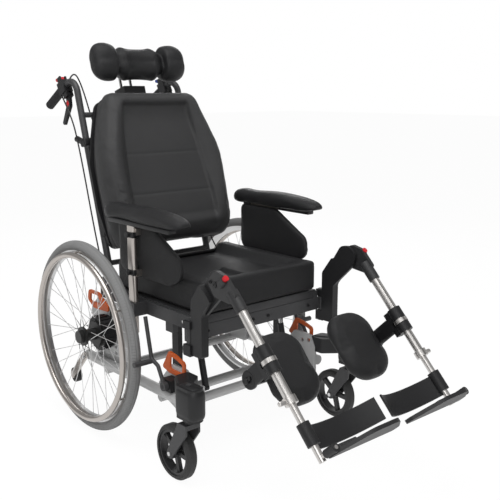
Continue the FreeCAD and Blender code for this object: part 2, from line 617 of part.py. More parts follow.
node("back_shell", cut("back_shell", fuse("shell_solid", shell_parts), saddle_cuts), BACK)

# Back cushion: lofted upwards, with a raised border round a recessed middle and a fuller lumbar part.
back_face = face - S["shell_thickness"]
sections = []
for k, (w, width, depth, dish) in enumerate([(foot, 0.90, 0.56, 0.98), (foot + 14, 0.95, 0.86, 0.98),
                                             (foot + 52, 0.985, 0.98, 0.92), (foot + 100, 1.0, 1.02, 0.88),
                                             (foot + 190, 1.01, 1.03, 0.80), (foot + 290, 1.0, 1.0, 0.78),
                                             (foot + 370, 0.93, 0.94, 0.78), (top - 58, 0.83, 0.88, 0.82),
                                             (top - 18, 0.76, 0.83, 0.95), (top, 0.68, 0.60, 0.98)]):
    a = half * width
    d = (S["back_depth"] + 12) * depth
    inner = d * dish
    steps = [(-a + 6, 0), (a - 6, 0), (a, d * 0.5, a - 3, d - 16), (a - 8, d - 4, a - 22, d),
             (a - 44, d - (d - inner) * 0.2, a - 66, inner), (0, inner - 3, 66 - a, inner),
             (44 - a, d - (d - inner) * 0.2, 22 - a, d), (8 - a, d - 4, 3 - a, d - 16),
             (-a, d * 0.5, -a + 6, 0)]
    sections.append(section_wire(f"back_section_{k}", steps, lambda q, w=w: V(q[0], back_face - q[1], w)))
node("back_cushion", loft("back_cushion", sections), BACK)

# Push grips with the lever housings; the handle frame lies along the sloping end of the cane.
slope = math.degrees(math.atan2(S["handle_drop"], S["handle_reach"]))
handle_length = math.hypot(S["handle_drop"], S["handle_reach"])
HANDLE = BACK.multiply(FreeCAD.Placement(V(0, 0, S["cane_top"]), FreeCAD.Rotation(X_AXIS, -slope)))
LEVER_PIN = (74, -32)
CONTROL_PIN = (84, 28)
grips = []
for name, side in SIDES.items():
    x = side * S["cane_track"]
    bore = rod("handle_bore_" + name, "cane_radius", handle_length - 40, (x, 40, 0), (0, 1, 0))
    grip = rod("grip_solid_" + name, "grip_radius", handle_length - 98, (x, 104, 0), (0, 1, 0))
    grips.append(cut("grip_" + name, grip, [bore]))
    box = [block("lever_box_" + name, (x - 16, 62, -24), (x + 16, 101, 20))]
    for low, high in ((-13, -7), (7, 13)):
        box.append(block(f"lever_ear_{name}_{high}", (x + low, 62, -42), (x + high, 86, -20)))
        box.append(block(f"control_ear_{name}_{high}", (x + low, 74, 16), (x + high, 94, 38)))
    for label, (y, z) in (("brake", LEVER_PIN), ("control", CONTROL_PIN)):
        box.append(rod(f"{label}_pin_{name}", 4, 24, (x - 12, y, z), (1, 0, 0)))
    grips.append(cut("lever_housing_" + name, fuse("lever_housing_solid_" + name, box), [bore]))
    lever = [(62, -26, 9), (84, -26, 9), (92, -58, 8), (154, -98, 5), (148, -110, 5), (76, -74, 12),
             (64, -48, 8)]
    hole = (LEVER_PIN[0], LEVER_PIN[1], 4 + S["fit_gap"])
    node("brake_lever_" + name, plate("brake_lever_" + name, "YZ_Plane", lever, 10, (x - 5, 0, 0), [hole]),
         HANDLE)
    small = [(76, 21.5, 6), (94, 21.5, 6), (118, 42, 4), (116, 50, 4), (78, 38, 6)]
    hole = (CONTROL_PIN[0], CONTROL_PIN[1], 4 + S["fit_gap"])
    label = "tilt_lever" if side < 0 else "recline_lever"
    node(label, plate(label, "YZ_Plane", small, 10, (x - 5, 0, 0), [hole]), HANDLE)
node("push_grips", gather("push_grips", grips), HANDLE)

# Brake cables: from each lever housing along the cane, then across to the drum-brake plate.
cables = []
for name, side in SIDES.items():
    x = S["cane_track"] + 21
    low_x = S["seat_rail_track"] + S["cable_gap"]
    top_end = HANDLE.multVec(V(side * (S["cane_track"] + 12), 96, -24.6))
    points = [top_end, BACK.multVec(V(side * x, 40, S["cane_top"] - 110)),
              BACK.multVec(V(side * x, 16, S["cane_top"] - 210)),
              BACK.multVec(V(side * x, 16, foot + 10)), V(side * low_x, -24, 428),
              V(side * low_x, -24, AXLE + 48)]
    cables.append(bent_tube("cable_" + name, [tuple(p) for p in points], 30, 2.5))
    x = S["cane_track"]
    start = HANDLE.multVec(V(side * (x - 12), 61.5, 14))
    points = [start, HANDLE.multVec(V(side * (x - 14), 20, 30)),
              BACK.multVec(V(side * (x - 30), 16, S["cane_top"] - 30)),
              BACK.multVec(V(side * (x - 46), 12, top - 96)),
              BACK.multVec(V(side * (x - 60), face + 0.6, top - 130))]
    cables.append(bent_tube("release_cable_" + name, [tuple(p) for p in points], 24, 2.5))
trims = [NODES["back_canes"], NODES["push_grips"], NODES["frame_brackets"]]
node("brake_cables", gather("brake_cables", [cut(f"cable_trim_{k}", c, trims) for k, c in enumerate(cables)]))

# Headrest: twin posts with a cross bar, and a pad fuller at its two lobes.
head = []
for name, side in SIDES.items():
    head.append(rod("head_post_" + name, "head_post_radius", S["head_height"] - top + 84,
                    (side * S["head_post_track"], 20, top - 84), (0, 0, 1)))
head.append(rod("head_bar", "head_post_radius", 96, (-48, 20, S["head_height"]), (1, 0, 0)))
node("headrest_posts", fuse("headrest_posts", head), BACK)
sections = []
lobes = [(1.0, -84, 16, 36), (0.93, -84, 32, 56), (0.74, -80, 44, 68), (0.5, -70, 38, 64),
         (0.26, -59, 28, 55)]
stations = [(-f, v, d, h) for f, v, d, h in lobes] + [(0.0, -57, 25, 52)] + lobes[::-1]
for k, (f, v, d, h) in enumerate(stations):
    steps = [(d, 0), (d * 0.74, h * 0.74, 0, h), (-d * 0.74, h * 0.74, -d, 0), (-d * 0.74, -h * 0.74, 0, -h),
             (d * 0.74, -h * 0.74, d, 0)]
    sections.append(section_wire(f"head_section_{k}", steps,
                                 lambda q, f=f, v=v: V(f * S["head_half"], v + q[0],
                                                       S["head_height"] + q[1])))
pad = loft("head_pad", sections)
lug = block("head_lug_solid", (-9, -50, S["head_height"] - 11), (9, 31, S["head_height"] + 11))
bar_bore = rod("head_bar_bore", "head_post_radius + fit_gap", 60, (-30, 20, S["head_height"]), (1, 0, 0))
node("headrest_pad", gather("headrest_pad", [pad, cut("head_lug", lug, [pad, bar_bore])]), BACK)

# Armrests: flat post in the seat socket, pad on a carrier, side panel held by two clips.
for name, side in SIDES.items():
    ay = S["arm_y"]
    low = base_z - 55
    x = side * S["arm_track"]
    hw, hl = S["post_width"] / 2, S["post_length"] / 2
    corners = [(x - hw, ay - hl, 8), (x + hw, ay - hl, 8), (x + hw, ay + hl, 8), (x - hw, ay + hl, 8)]
    post = plate("arm_post_bar_" + name, "XY_Plane", corners, S["arm_top"] - low - 6, (0, 0, low))
    outer = S["panel_inner"] + S["panel_thickness"]
    carrier = side_block("arm_carrier_" + name, side, (outer + 1, S["arm_track"] + 10), (ay - 70, ay + 70),
                         (S["arm_top"] - 10, S["arm_top"]))
    clips = [post, carrier]
    for height in (536, 660):
        clips.append(side_block(f"arm_clip_{name}_{height}", side, (outer, S["arm_track"]),
                                (ay - 24, ay + 24),
                                (height - 10, height + 10)))
    px = side * S["arm_pad_track"]
    sections = []
    for k, (y, a, low_f, top_f) in enumerate([(-38, 15, 0.16, 0.62), (-50, 25, 0.04, 0.86),
                                              (-120, 31, 0.0, 1.0),
                                              (-230, 35, 0.0, 1.08), (-330, 37, 0.0, 1.02),
                                              (-405, 34, 0.04, 0.84),
                                              (-434, 26, 0.14, 0.66), (-446, 13, 0.24, 0.50)]):
        low = S["arm_pad_height"] * low_f
        tall = S["arm_pad_height"] * (top_f - low_f)
        steps = [(-a * 0.8, low), (a * 0.8, low), (a * 0.97, low + tall * 0.2, a, low + tall * 0.48),
                 (a * 0.74, low + tall * 0.86, 0, low + tall),
                 (-a * 0.74, low + tall * 0.86, -a, low + tall * 0.48),
                 (-a * 0.97, low + tall * 0.2, -a * 0.8, low)]
        sections.append(section_wire(f"arm_pad_section_{name}_{k}", steps,
                                     lambda q, y=y, px=px: V(px + q[0], y, S["arm_top"] + q[1])))
    pad = node("arm_pad_" + name, loft("arm_pad_" + name, sections))
    node("arm_post_" + name, cut("arm_post_" + name, fuse("arm_post_solid_" + name, clips), [pad]))
    panel = [(-78, 688, 20), (-78, 530, 40), (-150, 514, 30), (-352, 514, 40), (-412, 546, 40),
             (-404, 606, 40),
             (-260, 688, 50)]
    body = side_plate("side_panel_" + name, side, S["panel_inner"], "panel_thickness", panel)
    node("side_panel_" + name, body)

# Legrests. The hanger turns on the seat's post; the leg frame hangs from the knee pin.
for name, side in SIDES.items():
    lt = S["leg_track"]
    inner = lt - 12
    column = [(-472, 350, 4), (-520, 350, 8), (-520, 474, 24), (-556, 520, 6), (-512, 560, 6),
              (-472, 506, 16)]
    arm = [(-478, 496, 6), (-520, 470, 6), (-596, 544, 24), (-612, 580, 24), (-580, 606, 24), (-548, 602, 24)]
    pieces = [side_plate("hanger_column_" + name, side, inner, 24, column),
              side_plate("hanger_arm_plate_" + name, side, inner, 10, arm)]
    ky, kz = S["knee_y"], S["knee_z"]
    pieces.append(rod("knee_pin_" + name, 8, 27, (side * inner, ky, kz), (side, 0, 0)))
    for low, high in ((346, 378), (424, 446)):
        pieces.append(side_block(f"hanger_lug_{name}_{low}", side, (lt - 8, lt + 18),
                                 (S["swing_y"] - 19, S["swing_y"] + 12), (low, high)))
    post = rod("hanger_bore_" + name, "9 + fit_gap", 140, (side * S["swing_track"], S["swing_y"], 330),
               (0, 0, 1))
    node("hanger_" + name, cut("hanger_" + name, fuse("hanger_solid_" + name, pieces), [post]))

    axis_y = -S["leg_tube_offset"]
    button_x = side * (lt + 11.5)
    x = side * lt
    bracket_outline = [(22, 26, 18), (-26, 28, 20), (-50, -8, 12), (-50, -70, 6), (-14, -70, 8),
                       (26, -22, 18)]
    cheek = side_plate("knee_cheek_" + name, side, lt - 1, 13, bracket_outline, [(0, 0, 8 + S["fit_gap"])])
    socket = rod("knee_socket_" + name, 16.5, 60, (x, axis_y, -106), (0, 0, 1))
    boss = rod("button_boss_" + name, 12, 24, (button_x, -20, -13), (0, -1, 0))
    tube_bore = rod("socket_bore_" + name, "leg_tube_radius", 70, (x, axis_y, -122), (0, 0, 1))
    button_bore = rod("button_bore_" + name, "button_radius + fit_gap", 40, (button_x, -27, -13), (0, -1, 0))
    bracket = cut("knee_bracket_" + name, fuse("knee_solid_" + name, [cheek, socket, boss]),
                  [tube_bore, button_bore])
    tube = [rod("leg_bar_" + name, "leg_tube_radius", 311, (x, axis_y, -363), (0, 0, 1)),
            rod("calf_ring_" + name, 21, 12, (x, axis_y, -258), (0, 0, 1)),
            rod("leg_collar_" + name, 18, 20, (x, axis_y, -371), (0, 0, 1))]
    tube_hole = rod("leg_hole_" + name, "foot_tube_radius + fit_gap", 400, (x, axis_y, -400), (0, 0, 1))
    bar = cut("leg_sleeve_" + name, fuse("leg_solid_" + name, tube), [tube_hole])
    node("leg_tube_" + name, gather("leg_tube_" + name, [bracket, bar]), LEG)
    node("knee_button_" + name, rod("knee_button_" + name, "button_radius", 20, (button_x, -32, -13),
                                    (0, -1, 0)), LEG)

    ct = S["calf_track"]
    pad_back = axis_y + 62 + S["calf_thickness"]
    sleeve = [rod("calf_sleeve_up_" + name, 20, 35, (x, axis_y, -245), (0, 0, 1)),
              rod("calf_sleeve_low_" + name, 20, 26, (x, axis_y, -285), (0, 0, 1)),
              side_block("calf_bridge_" + name, side, (lt - 13, lt + 13), (axis_y + 22.5, axis_y + 34),
                         (-285, -210)),
              side_block("calf_neck_up_" + name, side, (lt - 13, lt + 13), (axis_y + 12, axis_y + 30),
                         (-245, -210)),
              side_block("calf_neck_low_" + name, side, (lt - 13, lt + 13), (axis_y + 12, axis_y + 30),
                         (-285, -259)),
              side_block("calf_arm_bar_" + name, side, (lt - 18, lt - 6), (axis_y + 24, pad_back + 10),
                         (-266, -230)),
              side_block("calf_back_bar_" + name, side, (ct - 30, lt - 8), (pad_back, pad_back + 10),
                         (-266, -230))]
    sleeve_hole = rod("calf_sleeve_hole_" + name, "leg_tube_radius + fit_gap", 120, (x, axis_y, -300),
                      (0, 0, 1))
    node("calf_arm_" + name, cut("calf_arm_" + name, fuse("calf_arm_solid_" + name, sleeve), [sleeve_hole]),
         LEG)
    sections = []
    for k, (depth, inset) in enumerate([(0, 6), (10, 0), (30, 2), (40, 10), (44, 24)]):
        a = S["calf_width"] / 2 - inset
        b = S["calf_length"] / 2 - inset
        mid = -256
        cx = side * ct
        round_r = 66 - inset
        wire = Part.Wire([g.toShape() for g in rounded([(cx - a, mid - b, round_r),
                                                        (cx + a, mid - b, round_r),
                                                        (cx + a, mid + b, round_r),
                                                        (cx - a, mid + b, round_r)])])
        wire.Placement = FreeCAD.Placement(V(0, pad_back - depth * S["calf_thickness"] / 44, 0),
                                           FreeCAD.Rotation(X_AXIS, 90))
        thing = doc.addObject("Part::Feature", f"calf_section_{name}_{k}")
        thing.Shape = wire
        sections.append(thing)
    node("calf_pad_" + name, loft("calf_pad_" + name, sections), LEG)

    station = -S["foot_station"]
    lower = [rod("foot_bar_" + name, "foot_tube_radius", 323, (x, axis_y, station - 11), (0, 0, 1)),
             rod("foot_pin_" + name, 5, 66, (x, axis_y, station), (0, -1, 0))]
    node("lower_leg_" + name, fuse("lower_leg_" + name, lower), LEG)
    body = doc.addObject("PartDesign::Body", "heel_wall_" + name)
    bow = [(side * (lt - 8), axis_y + 2), (side * 150, axis_y + 34),
           (side * (S["foot_inner"] - 11), axis_y - 14)]
    t = 7
    near = [V(*p, 0) for p in bow]
    far = [V(px, py + t, 0) for px, py in bow]
    curve = [Part.Arc(*near), Part.LineSegment(near[2], far[2]), Part.Arc(*far[::-1]),
             Part.LineSegment(far[0], near[0])]
    pad = body.newObject("PartDesign::Pad", "heel_wall_pad_" + name)
    pad.Profile = sketch_in(body, "XY_Plane", curve)
    pad.Length = 62
    body.Placement = FreeCAD.Placement(V(0, 0, station + 22), FreeCAD.Rotation())
    sleeve = rod("foot_sleeve_" + name, 17, 58, (x, axis_y, station + 32), (0, 0, 1))
    hole = rod("foot_sleeve_hole_" + name, "foot_tube_radius", 120, (x, axis_y, station), (0, 0, 1))
    node("heel_support_" + name, cut("heel_support_" + name, fuse("heel_solid_" + name, [body, sleeve]),
                                     [hole]), LEG)
    n0 = axis_y - 24
    n1 = n0 - S["foot_depth"]
    fi = side * S["foot_inner"]
    fo = side * (lt + 2)
    outline = [(fi, n0, 8), (fo, n0, 6), (fo, n0 - 26, 20), (side * (lt - 74), n1, 40),
               (fi + side * 70, n1, 40),
               (fi, n0 - 26, 20)]
    sole = plate("foot_sole_" + name, "XY_Plane", outline, "foot_thickness", (0, 0, station - 13))
    knuckle = rod("foot_knuckle_" + name, 11, 40, (x, n0, station), (0, -1, 0))
    kerb = side_plate("foot_kerb_" + name, side, lt - 90, 74, [(n0, station - 10, 0), (n0, station + 8, 6),
                                                               (n0 - 20, station + 8, 6),
                                                               (n0 - 30, station - 10, 0)])
    pin_hole = rod("foot_hole_" + name, "5 + fit_gap", 120, (x, n0 + 20, station), (0, -1, 0))
    node("footplate_" + name, cut("footplate_" + name, fuse("foot_solid_" + name, [sole, knuckle, kerb]),
                                  [pin_hole]), LEG)

# Parking brakes: bent lever with the roller that presses on the tyre.
for name, side in SIDES.items():
    x = side * (plate_outer + 41)
    shoe_r = 8
    gap = 0.6
    shoe_z = AXLE - 8
    shoe_y = -math.sqrt((S["wheel_radius"] + shoe_r + gap) ** 2 - 64)
    path = [(x, PARK[0] + 4.5, PARK[1] + 8), (x, PARK[0] + 30, PARK[1] + 54), (x, shoe_y + 2, AXLE - 3),
            (x, shoe_y + 29.4, AXLE + 119)]
    handle = bent_tube("park_handle_" + name, path, 14, "brake_bar")
    eye = rod("park_eye_" + name, 13, 14, (x - 7, PARK[0], PARK[1]), (1, 0, 0))
    shoe = rod("park_shoe_" + name, shoe_r, 62, (x, shoe_y, shoe_z), (side, 0, 0))
    hole = rod("park_hole_" + name, "pivot_radius + fit_gap", 40, (x - 20, PARK[0], PARK[1]), (1, 0, 0))
    node("parking_brake_" + name, cut("parking_brake_" + name,
                                      fuse("park_solid_" + name, [handle, eye, shoe]), [hole]))

# Anti-tip arms with their rollers behind the rear axle.
for name, side in SIDES.items():
    wy, wz = tip_y + 92, S["rail_height"] - 92
    arm = [(tip_y - 14, S["rail_height"] + 2, 8), (tip_y + 4, S["rail_height"] + 18, 8),
           (wy + 12, wz + 4, 8), (wy - 4, wz - 12, 8)]
    tip_x = S["rail_track"] + 18
    bar = side_plate("tip_bar_" + name, side, tip_x, 8, arm)
    pin = rod("tip_axle_" + name, 5, 28, (side * (tip_x + 6), wy, wz), (-side, 0, 0))
    hole = rod("tip_hole_" + name, "pivot_radius + fit_gap", 40,
               (side * (tip_x + 2) - 20, tip_y, S["rail_height"]), (1, 0, 0))
    node("anti_tip_" + name, cut("anti_tip_" + name, fuse("tip_solid_" + name, [bar, pin]), [hole]))
    roller = rod("tip_roller_solid_" + name, 25, 17, (side * (tip_x - 1.5), wy, wz), (-side, 0, 0))
    bore = rod("tip_roller_bore_" + name, "5 + fit_gap", 60, (side * (tip_x + 2) - 30, wy, wz), (1, 0, 0))
    node("anti_tip_wheel_" + name, cut("anti_tip_wheel_" + name, roller, [bore]))


# Gas springs: cylinder on its lower pin, rod with an eye that has play on the upper pin.
def gas_spring(label, offsets, foot, head, body_radius, play):
    along = V(0, head[0] - foot[0], head[1] - foot[1])
    length = along.Length
    frame = FreeCAD.Placement(V(0, foot[0], foot[1]), rotation_to(tuple(along)))
    cylinders = []
    rods = []
    for k, x in enumerate(offsets):
        eye = rod(f"{label}_foot_eye_{k}", 9, 14, (x - 7, 0, 0), (1, 0, 0))
        barrel = rod(f"{label}_barrel_{k}", body_radius, length * 0.62, (x, 0, 5), (0, 0, 1))
        hole = rod(f"{label}_foot_hole_{k}", "4 + fit_gap", 30, (x - 15, 0, 0), (1, 0, 0))
        well = rod(f"{label}_well_{k}", "4.5 + fit_gap", length, (x, 0, 16), (0, 0, 1))
        cylinders.append(cut(f"{label}_cylinder_{k}", fuse(f"{label}_body_{k}", [eye, barrel]), [hole, well]))
        stem = rod(f"{label}_stem_{k}", 4.5, length * 0.7, (x, 0, length * 0.3), (0, 0, 1))
        ring = rod(f"{label}_head_eye_{k}", 6 + play + 3, 14, (x - 7, 0, length), (1, 0, 0))
        slack = rod(f"{label}_head_hole_{k}", 4 + play, 30, (x - 15, 0, length), (1, 0, 0))
        rods.append(cut(f"{label}_rod_{k}", fuse(f"{label}_rod_body_{k}", [stem, ring]), [slack]))
    return frame, gather(f"{label}_cylinders", cylinders), gather(f"{label}_rods", rods)


ears = (S["front_cross_y"] + 48, base_z - 5)
lug = BACK.multVec(V(0, 0, LEVER))
for label, offsets, foot_pin, head_pin, radius, play in (
        ("tilt", (-S["spring_track"], S["spring_track"]), (S["front_cross_y"], lug_z), ears, 10, 1.2),
        ("recline", (0,), SPRING_FOOT, (lug.y, lug.z), 11, 3.0)):
    frame, barrels, stems = gas_spring(label + "_spring", offsets, foot_pin, head_pin, radius, play)
    node(label + "_cylinder", barrels, frame)
    node(label + "_rod", stems, frame)

doc.recompute()
faults = []
for thing in doc.Objects:
    if "Invalid" in thing.State or "Error" in thing.State:
        faults.append(thing.Name)
for label, thing in NODES.items():
    if thing.Shape.isNull() or not thing.Shape.isValid() or not thing.Shape.Solids:
        faults.append("shape of " + label)
if faults:
    raise RuntimeError("not built: " + ", ".join(faults))
os.makedirs("parts", exist_ok=True)
for label, thing in NODES.items():
    thing.Shape.exportStep(f"parts/{label}.step")
    print(label, len(thing.Shape.Solids), "solids", round(thing.Shape.Volume / 1000.0, 1), "cm3")
print(len(NODES), "nodes")
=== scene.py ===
# %% [markdown]
# A reclining wheelchair, dressed for the camera.
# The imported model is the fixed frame: every steel, alloy and plastic piece already stands where it belongs.
# This lesson lights it, gives each surface a finish, and makes the upholstery and the small fittings.

# %% Load the frame
import math

import bpy
from mathutils import Matrix, Vector


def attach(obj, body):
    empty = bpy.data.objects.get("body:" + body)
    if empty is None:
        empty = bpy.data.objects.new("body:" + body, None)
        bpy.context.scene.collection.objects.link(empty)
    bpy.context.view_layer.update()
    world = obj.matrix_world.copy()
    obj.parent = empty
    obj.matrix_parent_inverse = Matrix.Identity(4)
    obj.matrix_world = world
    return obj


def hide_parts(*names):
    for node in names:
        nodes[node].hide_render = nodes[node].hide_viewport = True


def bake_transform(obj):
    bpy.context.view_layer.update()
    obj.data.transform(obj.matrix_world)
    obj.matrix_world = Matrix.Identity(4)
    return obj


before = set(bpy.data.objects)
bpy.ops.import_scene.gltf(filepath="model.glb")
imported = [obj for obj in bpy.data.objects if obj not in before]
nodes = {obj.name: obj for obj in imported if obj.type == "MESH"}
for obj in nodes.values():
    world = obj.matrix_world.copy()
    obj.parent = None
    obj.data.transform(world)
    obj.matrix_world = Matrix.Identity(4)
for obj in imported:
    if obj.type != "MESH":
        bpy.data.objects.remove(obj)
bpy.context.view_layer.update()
scene = bpy.context.scene
SIDES = {"right": -1, "left": 1}

# %% [markdown]
# The camera stands in front of the occupant's right, a little above the seat.
# The long lens keeps the big wheel and the footplates in the proportions of a product picture.

# %% Camera
CAMERA_PLACE = (-1.464, -2.093, 1.063)
CAMERA_TILT = 90 - 11.7
CAMERA_TURN = -41
SENSOR = 36
FOCAL_SHARE = 763 / 500
bpy.ops.object.camera_add(location=CAMERA_PLACE,
                          rotation=(math.radians(CAMERA_TILT), 0, math.radians(CAMERA_TURN)))
camera = bpy.context.object
camera.data.sensor_width = SENSOR
camera.data.lens = FOCAL_SHARE * SENSOR
scene.camera = camera
scene.view_settings.view_transform = "Standard"
print("camera lens", round(camera.data.lens, 2))

# %% [markdown]
# A shader graph is easier to read as arithmetic than as boxes and wires.
# Value wraps one socket, so that mask * 2 or 1 - mask adds the Math node it needs.
# Finish is a material being built: node() adds any node, blend() mixes two colours.


# %% Shader arithmetic
class Value:
    def __init__(self, finish, socket):
        self.finish = finish
        self.socket = socket

    def math(self, operation, *others):
        return self.finish.sum(operation, self, *others)

    def __add__(self, other):
        return self.finish.sum("ADD", self, other)

    def __sub__(self, other):
        return self.finish.sum("SUBTRACT", self, other)

    def __rsub__(self, other):
        return self.finish.sum("SUBTRACT", other, self)

    def __mul__(self, other):
        return self.finish.sum("MULTIPLY", self, other)

    __radd__ = __add__
    __rmul__ = __mul__


class Finish:
    def __init__(self, name):
        self.material = bpy.data.materials.new(name)
        self.material.use_nodes = True
        self.tree = self.material.node_tree
        self.shader = self.tree.nodes["Principled BSDF"]
        self.place = self.node("ShaderNodeTexCoord", out="Object")

    def node(self, kind, settings=None, inputs=None, out=0):
        made = self.tree.nodes.new(kind)
        for key, value in (settings or {}).items():
            setattr(made, key, value)
        for key, value in (inputs or {}).items():
            self.feed(made.inputs[key], value)
        return Value(self, made.outputs[out])

    def feed(self, socket, value):
        if isinstance(value, Value):
            self.tree.links.new(value.socket, socket)
        else:
            socket.default_value = value

    def sum(self, operation, *values):
        return self.node("ShaderNodeMath", {"operation": operation}, dict(enumerate(values)))

    def blend(self, mask, first, second):
        return self.node("ShaderNodeMix", {"data_type": "RGBA"}, {0: mask, 6: first, 7: second}, out=2)

    def noise(self, scale, detail=3.0, place=None):
        return self.node("ShaderNodeTexNoise", None,
                         {"Vector": place or self.place, "Scale": scale, "Detail": detail})

    def axes(self, place=None):
        parts = self.node("ShaderNodeSeparateXYZ", None, {0: place or self.place})
        outputs = parts.socket.node.outputs
        return [Value(self, outputs[k]) for k in range(3)]

    def turned(self, origin, slope):
        moved = self.node("ShaderNodeVectorMath", {"operation": "SUBTRACT"}, {0: self.place, 1: origin})
        return self.node("ShaderNodeMapping", {"vector_type": "POINT"},
                         {"Vector": moved, "Rotation": (math.radians(slope), 0, 0)})

    def step(self, value, low, high):
        return self.node("ShaderNodeMapRange", {"interpolation_type": "SMOOTHSTEP"},
                         {0: value, 1: low, 2: high, 3: 0.0, 4: 1.0})

    def bump(self, height, depth):
        normal = self.node("ShaderNodeBump", None, {"Strength": 1.0, "Distance": depth, "Height": height})
        self.feed(self.shader.inputs["Normal"], normal)

    def set(self, **values):
        for key, value in values.items():
            self.feed(self.shader.inputs[key.replace("_", " ")], value)


def shade(colour, factor):
    return tuple(min(1.0, c * factor) for c in colour[:3]) + (1.0,)


def grey(level):
    return (level, level, level, 1.0)


print("shader arithmetic ready")

# %% [markdown]
# Studio: a pale floor that runs to a white distance, one large soft lamp overhead and two low fills.
# The floor glows to rays from the camera, direct, reflected or through a clear piece, so that it reads as white
# and still takes a soft shadow. The sky is white to the camera and weaker as a light on the chair.

# %% Floor, lamps and sky
FLOOR_SIZE = 60
FLOOR_DROP = 0.0005
GLOW, GLOW_SHARE = 1.03, 0.92
SKY_LIGHT, SKY_SEEN = 0.38, 1.0
bpy.ops.mesh.primitive_plane_add(size=FLOOR_SIZE, location=(0, 0, -FLOOR_DROP))
floor = bpy.context.object
floor.name = "studio_floor"
paper = Finish("studio_paper")
speck = paper.noise(3.0)
paper.set(Base_Color=paper.blend(speck, grey(0.86), grey(0.9)), Roughness=0.9, Specular_IOR_Level=0.0)
direct, glossy, clear = (paper.node("ShaderNodeLightPath", out="Is " + kind + " Ray")
                         for kind in ("Camera", "Glossy", "Transmission"))
lit = Value(paper, paper.shader.outputs[0])
glow = paper.node("ShaderNodeEmission", None, {"Strength": GLOW})
mixed = paper.node("ShaderNodeMixShader", None, {0: (direct + glossy + clear) * GLOW_SHARE, 1: lit, 2: glow})
paper.feed(paper.tree.nodes["Material Output"].inputs["Surface"], mixed)
floor.data.materials.append(paper.material)

sky = bpy.data.worlds.new("studio_sky")
scene.world = sky
sky.use_nodes = True
ray = sky.node_tree.nodes.new("ShaderNodeLightPath")
background = sky.node_tree.nodes["Background"]
background.inputs["Color"].default_value = (1, 1, 1, 1)
adder = sky.node_tree.nodes.new("ShaderNodeMath")
adder.operation = "ADD"
sky.node_tree.links.new(ray.outputs["Is Camera Ray"], adder.inputs[0])
sky.node_tree.links.new(ray.outputs["Is Transmission Ray"], adder.inputs[1])
level = sky.node_tree.nodes.new("ShaderNodeMapRange")
level.inputs["To Min"].default_value = SKY_LIGHT
level.inputs["To Max"].default_value = SKY_SEEN
sky.node_tree.links.new(adder.outputs[0], level.inputs["Value"])
sky.node_tree.links.new(level.outputs[0], background.inputs["Strength"])


def softbox(name, place, aim, size, power):
    bpy.ops.object.light_add(type="AREA", location=place)
    lamp = bpy.context.object
    lamp.name = name
    lamp.data.shape = "RECTANGLE"
    lamp.data.size, lamp.data.size_y = size
    lamp.data.energy = power
    lamp.rotation_euler = (Vector(aim) - Vector(place)).to_track_quat("-Z", "Y").to_euler()


softbox("overhead_softbox", (-0.6, -0.6, 3.2), (0, -0.2, 0.4), (2.6, 2.2), 68)
softbox("front_softbox", (-2.6, -2.8, 1.9), (0, -0.2, 0.5), (1.8, 1.4), 30)
softbox("rear_softbox", (2.2, 2.4, 2.0), (0, 0, 0.6), (1.6, 1.4), 18)
print("studio ready")

# %% [markdown]
# Most of the chair is painted steel, moulded nylon or rubber.
# All three are a colour that drifts slightly over the surface and a fine grain that breaks up the gloss,
# so one recipe with different numbers makes them all.


# %% Painted, moulded and rubber finishes
def coating(name, colour, rough, grain, depth, metal=0.0, spread=0.12, gloss=0.4):
    finish = Finish(name)
    broad = finish.noise(14.0, 4.0)
    fine = finish.noise(grain, 2.0)
    finish.set(Base_Color=finish.blend(broad, shade(colour, 1 - spread), shade(colour, 1 + spread)),
               Roughness=rough - 0.06 + fine * 0.12, Metallic=metal, Specular_IOR_Level=gloss)
    finish.bump(fine, depth)
    return finish


BLACK = (0.010, 0.010, 0.011)
nylon = coating("black_nylon", BLACK, 0.44, 1100.0, 0.00010)
housing_nylon = coating("textured_nylon", (0.013, 0.013, 0.014), 0.50, 800.0, 0.00016)
grey_steel = coating("dark_grey_paint", (0.046, 0.046, 0.048), 0.46, 1500.0, 0.00006)
silver_paint = coating("silver_paint", grey(0.50), 0.40, 1700.0, 0.00005, metal=0.25, spread=0.05)
orange_paint = coating("orange_paint", (0.58, 0.105, 0.018), 0.42, 1500.0, 0.00006, spread=0.06)
red_plastic = coating("red_plastic", (0.56, 0.012, 0.020), 0.34, 900.0, 0.00004, spread=0.05)
blue_plastic = coating("blue_plastic", (0.018, 0.045, 0.27), 0.34, 900.0, 0.00004, spread=0.05)
cable_skin = coating("cable_skin", grey(0.014), 0.48, 700.0, 0.00005)
roller_rubber = coating("roller_rubber", grey(0.030), 0.68, 600.0, 0.00012)
print("coatings made")

# %% [markdown]
# Satin aluminium has a grain drawn along the tube.
# The noise is stretched along one axis of the piece, so a leg tube needs its own slope.


# %% Drawn aluminium and bright steel
def drawn(name, colour, rough, origin, slope, stretch):
    finish = Finish(name)
    along = finish.turned(origin, slope)
    stretched = finish.node("ShaderNodeVectorMath", {"operation": "MULTIPLY"}, {0: along, 1: stretch})
    streak = finish.noise(1.0, 3.0, stretched)
    broad = finish.noise(9.0)
    finish.set(Base_Color=finish.blend(broad, shade(colour, 0.94), shade(colour, 1.05)), Metallic=1.0,
               Roughness=rough - 0.03 + streak * 0.06)
    finish.bump(streak, 0.00001)
    return finish, along


